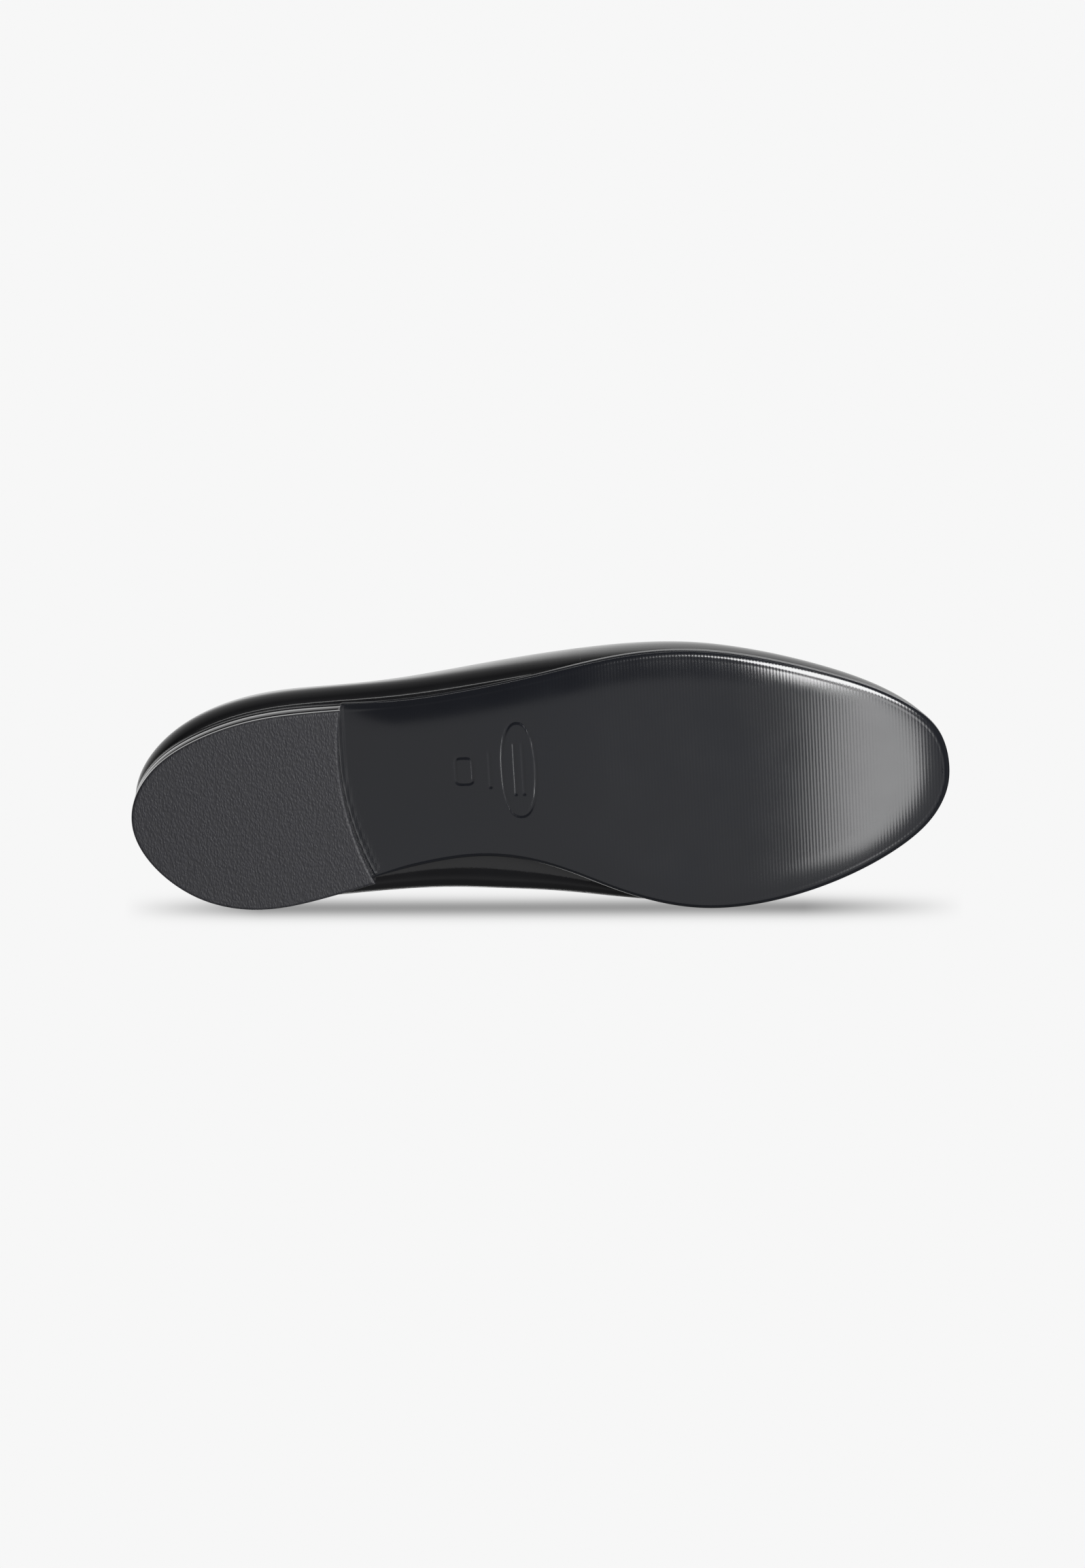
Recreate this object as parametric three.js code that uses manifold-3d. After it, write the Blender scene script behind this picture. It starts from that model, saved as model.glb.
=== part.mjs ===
// A low-heeled slip-on dress shoe for the right foot, as the separate pieces that a shoemaker joins.
// While it is built: +X from heel to toe, +Y to the inner (big-toe) side, +Z up, the ground at z = 0.
// At the end the shoe is moved so that its origin is the middle of the box it stands in, on the ground.
import * as THREE from "three";
import { mergeVertices } from "three/addons/utils/BufferGeometryUtils.js";
import Module from "manifold-3d";

const wasm = await Module();
wasm.setup();

// ---- Driving dimensions, millimetres ----
const CLEARANCE = 0.3; // glue line and play between two pieces that touch
const SOLE_LENGTH = 255;
const BALL_WIDTH = 84;
const SOLE_THICKNESS = 4;
const SOLE_EDGE_ROUND = 2.6; // how far the rolled bottom edge reaches in
const SOLE_EDGE_TURN = [[1, 0], [0.3, 0.13], [0, 0.45]]; // the rolled edge, shares of its reach: in, up
const SOLE_CHAMFER = 0.5; // height of the chamfer on the sole's top edge
const SOLE_CHAMFER_REACH = 0.15; // its reach as a share of the rolled edge's
const EDGE_FADE = 8; // the rolled edge grows to its full reach this far past the heel
const SOLE_MARGIN = 1.5; // how far the sole stands out past the foot of the upper
const HEEL_HEIGHT = 9.5; // ground to the underside of the sole
const TOP_LIFT_THICKNESS = 3.5;
const TOP_LIFT_ROUND = 0.6;
const BREAST_OUTER = 67; // heel back to the outer front corner of the heel
const BREAST_INNER = 74.5;
const BREAST_HOLLOW = 4.3; // depth of the curve in the heel's front face
const WAIST_START = 45; // where the sole starts to fall from the heel
const TREAD_START = 150; // the sole lies on the ground from here
const TREAD_END = 188; // to here, then it springs up to the toe
const TOE_SPRING = 8;
const TOE_SPRING_POWER = 1.85;
const UPPER_THICKNESS = 1.3;
const STIFFENER_THICKNESS = 1.0; // heel counter and toe puff
const LINING_THICKNESS = 0.8;
const GRIP_THICKNESS = 0.8;
const LASTING_MARGIN = 10; // upper turned under the insole
const BOARD_THICKNESS = 2;
const SOCK_THICKNESS = 1.2;
const HEEL_PAD_THICKNESS = 2;
const HEEL_PAD_LENGTH = 66;
const HEEL_BULGE_HEIGHT = 10; // widest line of the upper above the sole, at the heel and waist
const TOE_BULGE_HEIGHT = 8; // the same at the toe
const BULGE_FALL_START = 110; // the widest line falls from one height to the other between these two places
const BULGE_FALL_END = 215;
const BULGE_SMALL = 2; // where the upper stands out further than this, the linings start lower
const BULGE_LARGE = 10; // and the sock is wider, in full from here
const LINING_DROP = 0.75; // share of the linings' foot height that is lost there
const SOCK_REACH = 3.8;
const COUNTER_HEIGHT = 38;
const COUNTER_LENGTH = 78;
const PUFF_LENGTH = 44;
const STRAP_WIDTH = 15;
const BINDING_HEIGHT = 2.8;
const SHANK_LENGTH = 96;
const SHANK_WIDTH = 12;
const SHANK_START = 50; // heel back to the shank's rear end
const NAIL_RADIUS = 1.1;
const NAIL_HEAD_RADIUS = 2.2;
const NAIL_HEAD_THICKNESS = 0.8;
const NAIL_COUNT = 5;
const NAIL_ROW_END = 46; // heel back to the foremost nails, which stand in a row inside the lasting margin
const RIVET_RADIUS = 1.6;
const RIVET_COUNT = 2;
const RIVET_END_SHARE = 0.12; // from each end of the shank to its rivet, as a share of its length
const NAIL_TIP = 5; // height of the nails' points above the ground
const STRAP_THICKNESS = 0.9;
const STRAP_FOOT = 20; // the strap's lower end above the sole
const BINDING_OVERHANG = 0.5; // how far the binding stands past the layers it caps
const LINING_SEAM_PLACE = 128; // heel back to the seam between vamp and quarter linings
const GRIP_LENGTH = 40;
const GRIP_FOOT = 14; // the heel grip's lower edge above the sole
const FILLER_LENGTH = 80;
const FILLER_START = 152;

// Plan of the sole, heel to toe: how far along (share of the length), reach to the outer and to the inner
// side (shares of the ball's width), then how far the upper bulges past the sole there (millimetres).
const STATIONS = [
  { along: 0.009, outer: 0.069, inner: 0.145, outerBulge: 0.5, innerBulge: 0.3 },
  { along: 0.037, outer: 0.176, inner: 0.262, outerBulge: 1.0, innerBulge: 0.6 },
  { along: 0.086, outer: 0.261, inner: 0.367, outerBulge: 2.2, innerBulge: 1.1 },
  { along: 0.157, outer: 0.324, inner: 0.41, outerBulge: 2.2, innerBulge: 2.0 },
  { along: 0.243, outer: 0.339, inner: 0.362, outerBulge: 2.4, innerBulge: 5.9 },
  { along: 0.333, outer: 0.344, inner: 0.296, outerBulge: 3.2, innerBulge: 10.2 },
  { along: 0.424, outer: 0.382, inner: 0.25, outerBulge: 3.0, innerBulge: 14.1 },
  { along: 0.51, outer: 0.431, inner: 0.3, outerBulge: 1.8, innerBulge: 11.6 },
  { along: 0.596, outer: 0.483, inner: 0.427, outerBulge: -0.4, innerBulge: 3.9 },
  { along: 0.686, outer: 0.494, inner: 0.504, outerBulge: -0.9, innerBulge: -1.0 },
  { along: 0.773, outer: 0.446, inner: 0.489, outerBulge: -0.7, innerBulge: -1.3 },
  { along: 0.851, outer: 0.37, inner: 0.433, outerBulge: -0.6, innerBulge: -1.3 },
  { along: 0.918, outer: 0.287, inner: 0.35, outerBulge: -1.1, innerBulge: -1.4 },
  { along: 0.969, outer: 0.181, inner: 0.25, outerBulge: -1.2, innerBulge: -1.4 },
  { along: 0.993, outer: 0.086, inner: 0.145, outerBulge: -1.3, innerBulge: -1.3 },
];
const HEEL_BACK_SIDE = 0.036; // inward shift of the heel back and toe tip, shares of the ball's width
const TOE_TIP_SIDE = 0.048;
const TOE_TIP_BULGE = -1.4;

// Side view: height above the top of the sole at shares of the length.
const RIDGE = [
  [0.18, 99], [0.31, 85], [0.41, 73], [0.5, 62], [0.57, 54.5],
  [0.65, 46], [0.73, 39], [0.8, 34], [0.87, 29.5],
];
const TOPLINE = [
  [0, 56.5], [0.1, 53.5], [0.2, 47], [0.3, 42], [0.4, 40.5], [0.48, 44], [0.54, 52.5], [0.6, 66],
];
const RIDGE_SIDE_HEEL = 3; // the ridge's shift to the inner side
const RIDGE_SIDE_TOE = 5;
const RIDGE_START = 46; // the rails of the upper meet on the ridge between these two places
const RIDGE_END = 219;
const RIDGE_BLEND = 6;
const RIDGE_CREEP = 0.01; // the rails' ends move along the ridge at least this much
const WALL_CURVE_BACK = 1.25; // roundness of the upper's section: 1 is straight, 2 an ellipse
const WALL_CURVE_FRONT = 2.2;
const WALL_CURVE_START = 60;
const WALL_CURVE_END = 160;

// ---- Mesh fineness ----
const OUTLINE_STEPS = 64;
const RAIL_STEPS = 11;
const ROW_CROWDING = 1.2; // above 1 the rows lie closer near the foot
const BACK_STEPS = 16; // columns from the heel back to the throat
const THROAT_STEPS = 6; // closer columns over the last part before the throat
const THROAT_PART = 0.8375;
const FRONT_STEPS = 15;
const HEEL_STEPS = 16;
const BREAST_STEPS = 10;
const PLATE_STEPS = 16;
const PROFILE_STEPS = 20;
const NAIL_SIDES = 12;
const BINDING_SIDES = 8;
const BISECTIONS = 40;
const THROAT_SEARCH = [0.15, 0.4]; // turns of the outline between which the throat lies
const PROBE_TURN = 1e-3; // steps for measuring a direction: along the outline, up a rail, up its foot
const PROBE_SHARE = 0.01;
const PROBE_FOOT = 0.08;
const ON_RIDGE = 0.9999; // rail share from which a point counts as lying on the ridge
const SAME_POINT = 1e-3;
const WELD = 1e-4;

// ---- Plan and side-view functions ----
function outlinePoints() {
  const side = (s, reach, bulge) => new THREE.Vector3(s.along * SOLE_LENGTH, reach * BALL_WIDTH, bulge);
  const outer = STATIONS.map((s) => side(s, -s.outer, s.outerBulge));
  const inner = STATIONS.map((s) => side(s, s.inner, s.innerBulge)).reverse();
  const heel = new THREE.Vector3(0, HEEL_BACK_SIDE * BALL_WIDTH, 0);
  const toe = new THREE.Vector3(SOLE_LENGTH, TOE_TIP_SIDE * BALL_WIDTH, TOE_TIP_BULGE);
  return [heel, ...outer, toe, ...inner];
}
const outline = new THREE.CatmullRomCurve3(outlinePoints(), true, "centripetal");

// A point of the sole's plan and its outward direction; u runs 0 at the heel back, 0.5 at the toe tip.
function plan(u, outward) {
  const turn = ((u % 1) + 1) % 1;
  const at = outline.getPoint(turn);
  const along = outline.getPoint((turn + WELD) % 1).sub(outline.getPoint((turn - WELD + 1) % 1));
  const normal = new THREE.Vector2(along.y, -along.x).normalize();
  return { x: at.x + normal.x * outward, y: at.y + normal.y * outward, normal, bulge: at.z };
}

const smooth = (t) => t * t * (3 - 2 * t);
const share = (x, from, to) => THREE.MathUtils.clamp((x - from) / (to - from), 0, 1);
const mix = THREE.MathUtils.lerp;

// Height of the sole's underside above the ground.
function soleBottom(x) {
  const heel = HEEL_HEIGHT * (1 - smooth(share(x, WAIST_START, TREAD_START)));
  return heel + TOE_SPRING * share(x, TREAD_END, SOLE_LENGTH) ** TOE_SPRING_POWER;
}
const soleTop = (x) => soleBottom(x) + SOLE_THICKNESS;
const marginFloor = (x) => soleTop(x) + CLEARANCE;
const boardBottom = (x) => marginFloor(x) + UPPER_THICKNESS + CLEARANCE;
const boardTop = (x) => boardBottom(x) + BOARD_THICKNESS;
const sockBottom = (x) => boardTop(x) + CLEARANCE;
const sockTop = (x) => sockBottom(x) + SOCK_THICKNESS;

function profile(table) {
  const curve = new THREE.SplineCurve(table.map(([at, high]) => new THREE.Vector2(at * SOLE_LENGTH, high)));
  const samples = curve.getPoints(PROFILE_STEPS * table.length);
  return (x) => {
    const after = samples.findIndex((p) => p.x >= x);
    if (after < 0) return samples[samples.length - 1].y;
    if (after === 0) return samples[0].y;
    const [a, b] = [samples[after - 1], samples[after]];
    return mix(a.y, b.y, share(x, a.x, b.x));
  };
}
const ridgeHeight = profile(RIDGE);
const toplineHeight = profile(TOPLINE);

// ---- The upper's surface ----
// One rail per place on the outline runs from its foot over the widest line to the ridge.
const softStep = (d) => RIDGE_BLEND * Math.log(1 + Math.exp(d / RIDGE_BLEND));
const stationOf = (u) => (plan(u, 0).x + plan(-u, 0).x) / 2;
function ridgePoint(u) {
  const x = stationOf(Math.min(u, 1 - u));
  const past = x - RIDGE_END;
  const along = RIDGE_START + softStep(x - RIDGE_START) - softStep(past) + RIDGE_CREEP * past;
  const side = mix(RIDGE_SIDE_HEEL, RIDGE_SIDE_TOE, share(along, RIDGE_START, RIDGE_END));
  return new THREE.Vector3(along, side, soleTop(along) + ridgeHeight(along));
}

const WIDEST = 0.3; // rail share at which the upper is widest
function railPoint(u, v) {
  const turn = ((u % 1) + 1) % 1;
  const foot = plan(turn, -SOLE_MARGIN);
  const floor = marginFloor(foot.x);
  if (v <= 0) {
    const inward = plan(turn, -SOLE_MARGIN + v);
    return new THREE.Vector3(inward.x, inward.y, marginFloor(inward.x));
  }
  const wide = plan(turn, foot.bulge);
  const fallen = smooth(share(wide.x, BULGE_FALL_START, BULGE_FALL_END));
  const bulgeHeight = mix(HEEL_BULGE_HEIGHT, TOE_BULGE_HEIGHT, fallen);
  if (v <= WIDEST) {
    const angle = (v / WIDEST) * (Math.PI / 2);
    const out = Math.sin(angle);
    return new THREE.Vector3(mix(foot.x, wide.x, out), mix(foot.y, wide.y, out),
      floor + bulgeHeight * (1 - Math.cos(angle)));
  }
  const angle = ((Math.min(v, 1) - WIDEST) / (1 - WIDEST)) * (Math.PI / 2);
  const crest = ridgePoint(turn);
  const rounder = smooth(share(wide.x, WALL_CURVE_START, WALL_CURVE_END));
  const curve = 2 / mix(WALL_CURVE_BACK, WALL_CURVE_FRONT, rounder);
  const inward = 1 - Math.max(Math.cos(angle), 0) ** curve;
  const upward = Math.sin(angle) ** curve;
  return new THREE.Vector3(mix(wide.x, crest.x, inward), mix(wide.y, crest.y, inward),
    mix(floor + bulgeHeight, crest.z, upward));
}

// The direction in which the upper's layers are stacked, with a mitred corner where it turns under.
function railNormal(u, v) {
  const down = new THREE.Vector3(0, 0, -1);
  if (v < 0) return down;
  if (v > ON_RIDGE) {
    const { x } = ridgePoint(u);
    const crest = (at) => soleTop(at) + ridgeHeight(at);
    return new THREE.Vector3((crest(x - 1) - crest(x + 1)) / 2, 0, 1).normalize();
  }
  const [below, above] = [Math.max(v - PROBE_SHARE, 0), Math.min(v + PROBE_SHARE, 1)];
  const [low, high] = v === 0 ? [0, PROBE_FOOT] : [below, above];
  const around = railPoint(u + PROBE_TURN, v).sub(railPoint(u - PROBE_TURN, v));
  const along = railPoint(u, high).sub(railPoint(u, low));
  const wall = around.cross(along).normalize();
  return v === 0 ? wall.clone().add(down).divideScalar(1 + wall.dot(down)) : wall;
}

// The rail share at which the rail u reaches a height above the sole, given as a function of the station.
function railAt(u, height) {
  const station = stationOf(u);
  const target = soleTop(station) + height(station);
  let [low, high] = [0, 1];
  for (let i = 0; i < BISECTIONS; i++) {
    const middle = (low + high) / 2;
    if (railPoint(u, middle).z < target) low = middle;
    else high = middle;
  }
  return high > ON_RIDGE ? 1 : high;
}
const toplineShare = (u) => railAt(u, toplineHeight);

// The turn at which the topline meets the ridge.
function throatTurn() {
  let [open, shut] = THROAT_SEARCH;
  for (let i = 0; i < BISECTIONS; i++) {
    const middle = (open + shut) / 2;
    if (toplineShare(middle) < 1) open = middle;
    else shut = middle;
  }
  return shut;
}
const THROAT = throatTurn();

// ---- Solids ----
// A closed mesh from points and triangles that share them.
function closed(points, triangles) {
  const geometry = new THREE.BufferGeometry().setFromPoints(points);
  geometry.setIndex(triangles.flat());
  return geometry;
}

// Walls between loops of equal length stacked upwards, closed by the given bottom and top triangles.
function stack(loops, cap) {
  const count = loops[0].length;
  const triangles = cap.map(([a, b, c]) => [a, c, b]);
  const last = (loops.length - 1) * count;
  cap.forEach(([a, b, c]) => triangles.push([a + last, b + last, c + last]));
  for (let k = 0; k + 1 < loops.length; k++)
    for (let i = 0; i < count; i++) {
      const [a, b] = [k * count + i, k * count + ((i + 1) % count)];
      triangles.push([a, b, b + count], [a, b + count, a + count]);
    }
  return closed(loops.flat(), triangles);
}

// Triangles that join the outer side of a loop to its inner side, rung by rung.
function ladder(count, startsAtPoint) {
  const faces = startsAtPoint ? [[0, 1, count - 1]] : [];
  let [a, b] = [startsAtPoint ? 1 : 0, count - 1];
  for (; b - a > 2; a++, b--) faces.push([a, a + 1, b], [a + 1, b - 1, b]);
  if (b - a === 2) faces.push([a, a + 1, b]);
  return faces;
}

// A plate that follows the sole: loop(inset) gives its plan, each layer an inset and a height function.
function plate(loop, startsAtPoint, layers) {
  const loops = layers.map(({ inset, z }) =>
    loop(inset).map((p) => new THREE.Vector3(p.x, p.y, z(p.x))));
  return stack(loops, ladder(loops[0].length, startsAtPoint));
}

function insetLoop(points, inset) {
  return points.map((p, i) => {
    const before = points[(i + points.length - 1) % points.length];
    const after = points[(i + 1) % points.length];
    const normal = (a, b) => new THREE.Vector2(b.y - a.y, a.x - b.x).normalize();
    const [n, m] = [normal(before, p), normal(p, after)];
    const corner = n.clone().add(m).divideScalar(1 + n.dot(m));
    return new THREE.Vector2(p.x - corner.x * inset, p.y - corner.y * inset);
  });
}

// A flat-ended block: each layer is the loop drawn in by its inset at a constant height.
function block(points, layers) {
  const cap = THREE.ShapeUtils.triangulateShape(points, []);
  return stack(layers.map(({ inset, z }) =>
    insetLoop(points, inset).map((p) => new THREE.Vector3(p.x, p.y, z))), cap);
}

function toSolid(geometry) {
  const bare = geometry.clone();
  for (const name of Object.keys(bare.attributes)) if (name !== "position") bare.deleteAttribute(name);
  const merged = mergeVertices(bare, WELD);
  const mesh = { numProp: 3, vertProperties: merged.attributes.position.array };
  mesh.triVerts = new Uint32Array(merged.index.array);
  return new wasm.Manifold(new wasm.Mesh(mesh));
}

function fromSolid(solid) {
  const { vertProperties, triVerts } = solid.getMesh();
  const geometry = new THREE.BufferGeometry();
  geometry.setAttribute("position", new THREE.BufferAttribute(vertProperties, 3));
  geometry.setIndex(new THREE.BufferAttribute(triVerts, 1));
  return geometry;
}

function post(at, radius, from, to) {
  const cylinder = new THREE.CylinderGeometry(radius, radius, to - from, NAIL_SIDES);
  return cylinder.rotateX(Math.PI / 2).translate(at.x, at.y, (from + to) / 2);
}

// The geometry with upright holes, each {x, y, radius, from, to}.
function drilled(geometry, holes) {
  let solid = toSolid(geometry);
  for (const h of holes) solid = solid.subtract(toSolid(post(h, h.radius, h.from, h.to)));
  return fromSolid(solid);
}

// ---- Sheets over the upper's surface ----
// Columns of rail points at the turns given; rowsAt(u) lists the rail shares of one column.
const net = (turns, rowsAt) =>
  turns.map((u) => rowsAt(u).map((v) => ({ at: railPoint(u, v), stacked: railNormal(u, v) })));

// A closed sheet over a net, from one depth to a greater one, measured inwards from the surface.
function sheet(columns, outerDepth, innerDepth) {
  const seen = new Map();
  const corners = [];
  const indexOf = (corner) => {
    const key = corner.at.toArray().map((c) => Math.round(c / SAME_POINT)).join();
    if (!seen.has(key)) seen.set(key, corners.push(corner) - 1);
    return seen.get(key);
  };
  const grid = columns.map((column) => column.map(indexOf));
  const faces = [];
  const add = (...face) => {
    if (new Set(face).size === 3) faces.push(face);
  };
  for (let i = 0; i + 1 < grid.length; i++)
    for (let j = 0; j + 1 < grid[i].length; j++) {
      add(grid[i][j], grid[i + 1][j], grid[i + 1][j + 1]);
      add(grid[i][j], grid[i + 1][j + 1], grid[i][j + 1]);
    }
  const count = corners.length;
  const deep = (depth) => corners.map((c) => c.at.clone().addScaledVector(c.stacked, -depth));
  const edges = new Set(faces.flatMap(([a, b, c]) => [[a, b], [b, c], [c, a]].map(String)));
  const triangles = faces.flatMap(([a, b, c]) => [[a, b, c], [a + count, c + count, b + count]]);
  for (const edge of edges) {
    const [a, b] = edge.split(",").map(Number);
    if (edges.has([b, a].join())) continue;
    triangles.push([b, a, a + count], [b, a + count, b + count]);
  }
  return closed([...deep(outerDepth), ...deep(innerDepth)], triangles);
}

const evenly = (from, to, steps) => Array.from({ length: steps + 1 }, (_, i) => mix(from, to, i / steps));
const mirrored = (turns) => [...turns, ...turns.map((u) => 1 - u).reverse()];

// The turn at which the sole's outline reaches a distance from the heel back, on the outer side.
function turnAt(x) {
  let [low, high] = [0, 0.5];
  for (let i = 0; i < BISECTIONS; i++) {
    const middle = (low + high) / 2;
    if (plan(middle, 0).x < x) low = middle;
    else high = middle;
  }
  return low;
}

// ---- The layers of the upper, as depths in from its surface ----
const STIFFENER_TOP = UPPER_THICKNESS + CLEARANCE;
const LINING_TOP = STIFFENER_TOP + STIFFENER_THICKNESS + 2 * CLEARANCE;
const LINING_BOTTOM = LINING_TOP + LINING_THICKNESS;
const GRIP_TOP = LINING_BOTTOM + CLEARANCE;

// Half the gap at the back seam, as a turn of the outline.
function seamTurn() {
  const [a, b] = [plan(0, 0), plan(PROBE_TURN, 0)];
  return ((CLEARANCE / 2) * PROBE_TURN) / Math.hypot(a.x - b.x, a.y - b.y);
}
const SEAM = seamTurn();
// Every layer uses the same columns and rows, so that stacked layers stay parallel.
const BACK_TURNS = [SEAM,
  ...evenly(0, THROAT, BACK_STEPS).slice(1).filter((u) => u < THROAT * THROAT_PART),
  ...evenly(0, 1, THROAT_STEPS).map((t) => mix(THROAT * THROAT_PART, THROAT, 1 - (1 - t) ** 2))];
const TURNS = [...BACK_TURNS, ...evenly(THROAT, 0.5, FRONT_STEPS).slice(1)];
const turnsBetween = (from, to) => [from, ...TURNS.filter((u) => u > from + SEAM && u < to - SEAM), to];
const railRows = (u) => evenly(0, 1, RAIL_STEPS).map((t) => toplineShare(u) * t ** ROW_CROWDING);
const rows = (low, high) => (u) => {
  const [from, to] = [low(u), high(u)];
  return railRows(u).map((v) => THREE.MathUtils.clamp(v, from, to));
};
const standingOut = (u) => share(plan(u, 0).bulge, BULGE_SMALL, BULGE_LARGE);
const liningRow = (u) =>
  railAt(u, (x) => (sockBottom(x) - soleTop(x)) * (1 - LINING_DROP * standingOut(u)));

// Turns from one place on the outer side round the toe, or round the heel back, to the same inner place.
const roundTheToe = (turns) => [...turns, ...turns.map((u) => 1 - u).reverse().slice(1)];
const roundTheHeel = (turns) => [...turns.map((u) => -u).reverse(), ...turns.slice(1)];

function wholeCutUpper() {
  return sheet(net(roundTheToe(TURNS), (u) => [-LASTING_MARGIN, ...railRows(u)]), 0, UPPER_THICKNESS);
}

function toePuff() {
  const turns = turnsBetween(turnAt(SOLE_LENGTH - PUFF_LENGTH), 0.5);
  return sheet(net(roundTheToe(turns), rows(liningRow, () => 1)),
    STIFFENER_TOP, STIFFENER_TOP + STIFFENER_THICKNESS);
}

function heelCounter() {
  const turns = [0, ...turnsBetween(SEAM, turnAt(COUNTER_LENGTH)).slice(1)];
  return sheet(net(roundTheHeel(turns), rows(liningRow, (u) => railAt(u, () => COUNTER_HEIGHT))),
    STIFFENER_TOP, STIFFENER_TOP + STIFFENER_THICKNESS);
}

const LINING_SEAM = turnAt(LINING_SEAM_PLACE);
function vampLining() {
  const turns = turnsBetween(LINING_SEAM + SEAM, 0.5);
  return sheet(net(roundTheToe(turns), rows(liningRow, toplineShare)), LINING_TOP, LINING_BOTTOM);
}

function quarterLining(side) {
  const turns = turnsBetween(SEAM, LINING_SEAM - SEAM);
  const placed = side < 0 ? turns : turns.map((u) => 1 - u).reverse();
  return sheet(net(placed, rows(liningRow, toplineShare)), LINING_TOP, LINING_BOTTOM);
}

function heelGrip() {
  const low = (u) => railAt(u, () => GRIP_FOOT);
  const high = (u) => railAt(u, (x) => toplineHeight(x) - GRIP_FOOT / 2);
  const turns = [0, ...turnsBetween(SEAM, turnAt(GRIP_LENGTH)).slice(1)];
  return sheet(net(roundTheHeel(turns), rows(low, high)), GRIP_TOP, GRIP_TOP + GRIP_THICKNESS);
}

function backStrap() {
  const low = (u) => railAt(u, () => STRAP_FOOT);
  const end = (SEAM * STRAP_WIDTH) / CLEARANCE;
  return sheet(net(roundTheHeel([0, end / 2, end]), rows(low, toplineShare)),
    -CLEARANCE - STRAP_THICKNESS, -CLEARANCE);
}

// A rounded bead that runs all round the topline and caps the edges of the upper and the lining.
function toplineBinding() {
  const half = [0, ...BACK_TURNS.slice(1)];
  const turns = [...half, ...half.slice(1, -1).map((u) => 1 - u).reverse()];
  const path = turns.map((u) => railPoint(u, toplineShare(u)));
  const count = path.length;
  const across = LINING_BOTTOM / 2 + BINDING_OVERHANG;
  const loops = path.map((at, i) => {
    const out = railNormal(turns[i], toplineShare(turns[i]));
    const along = path[(i + 1) % count].clone().sub(path[(i + count - 1) % count]).normalize();
    const up = out.clone().cross(along).normalize();
    const middle = at.clone().addScaledVector(out, -LINING_BOTTOM / 2);
    middle.addScaledVector(up, CLEARANCE + BINDING_HEIGHT / 2);
    return evenly(0, 2 * Math.PI, BINDING_SIDES).slice(1).map((angle) => middle.clone()
      .addScaledVector(out, across * Math.cos(angle))
      .addScaledVector(up, (BINDING_HEIGHT / 2) * Math.sin(angle)));
  });
  const triangles = [];
  for (let k = 0; k < count; k++)
    for (let i = 0; i < BINDING_SIDES; i++) {
      const next = ((k + 1) % count) * BINDING_SIDES;
      const [a, b] = [i, (i + 1) % BINDING_SIDES];
      const here = k * BINDING_SIDES;
      triangles.push([here + a, next + a, next + b], [here + a, next + b, here + b]);
    }
  return closed(loops.flat(), triangles);
}

// ---- The bottom of the shoe ----
const OUTLINE_TURNS = evenly(0, 1, OUTLINE_STEPS).slice(0, -1);
const wholeSole = (inset) => OUTLINE_TURNS.map((u) => plan(u, -inset));

// The sole's outline from the heel back to a distance from it, closed straight across.
function soleBack(to) {
  const turns = evenly(0, turnAt(to), PLATE_STEPS);
  return (inset) => [...turns, ...turns.slice(1).map((u) => 1 - u).reverse()].map((u) => plan(u, -inset));
}

// The sole's outline between two distances from the heel back, closed straight across at each end.
function soleBetween(from, to) {
  const turns = evenly(turnAt(from), turnAt(to), PLATE_STEPS);
  return (inset) => mirrored(turns).map((u) => plan(u, -inset));
}

const NAIL_HOLE = NAIL_RADIUS + CLEARANCE;
const nailInset = SOLE_MARGIN + LASTING_MARGIN + NAIL_HEAD_RADIUS + 2 * CLEARANCE;
const lastNail = turnAt(NAIL_ROW_END);
const nailPlaces = evenly(-lastNail, lastNail, NAIL_COUNT - 1).map((u) => plan(u, -nailInset));
const nailHoles = (radius) => nailPlaces.map((p) =>
  ({ ...p, radius, from: NAIL_TIP - CLEARANCE, to: boardTop(0) + SOLE_THICKNESS }));

const shankMiddle = (x) => {
  const turn = turnAt(x);
  return (plan(turn, 0).y + plan(1 - turn, 0).y) / 2;
};
const rivetPlaces = Array.from({ length: RIVET_COUNT }, (_, i) => {
  const x = SHANK_START + SHANK_LENGTH * mix(RIVET_END_SHARE, 1 - RIVET_END_SHARE, i / (RIVET_COUNT - 1));
  return { x, y: shankMiddle(x) };
});
const rivetHoles = () => rivetPlaces.map((p) =>
  ({ ...p, radius: RIVET_RADIUS + CLEARANCE, from: 0, to: boardTop(0) + SOLE_THICKNESS }));

function outsole() {
  const lower = (x) => mix(CLEARANCE, SOLE_EDGE_ROUND, share(x, BREAST_OUTER, BREAST_INNER + EDGE_FADE));
  const loop = (part) => OUTLINE_TURNS.map((u) => plan(u, -part * lower(plan(u, 0).x)));
  const layers = [
    ...SOLE_EDGE_TURN.map(([inset, up]) => ({ inset, z: (x) => soleBottom(x) + up * lower(x) })),
    { inset: 0, z: (x) => soleTop(x) - SOLE_CHAMFER },
    { inset: SOLE_CHAMFER_REACH, z: soleTop },
  ];
  return drilled(plate(loop, true, layers), nailHoles(NAIL_HOLE));
}

// Plan of the heel: the sole's outline back to the breast, closed by the breast's hollow curve.
function heelPlan() {
  const outer = evenly(0, turnAt(BREAST_OUTER), HEEL_STEPS).map((u) => plan(u, 0));
  const inner = evenly(1 - turnAt(BREAST_INNER), 1, HEEL_STEPS).slice(0, -1).map((u) => plan(u, 0));
  const [from, to] = [outer[outer.length - 1], inner[0]];
  const breast = evenly(0, 1, BREAST_STEPS).slice(1, -1).map((t) => {
    const hollow = BREAST_HOLLOW * 4 * t * (1 - t);
    return { x: mix(from.x, to.x, t) - hollow, y: mix(from.y, to.y, t) };
  });
  return [...outer, ...breast, ...inner].map((p) => new THREE.Vector2(p.x, p.y));
}

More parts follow.
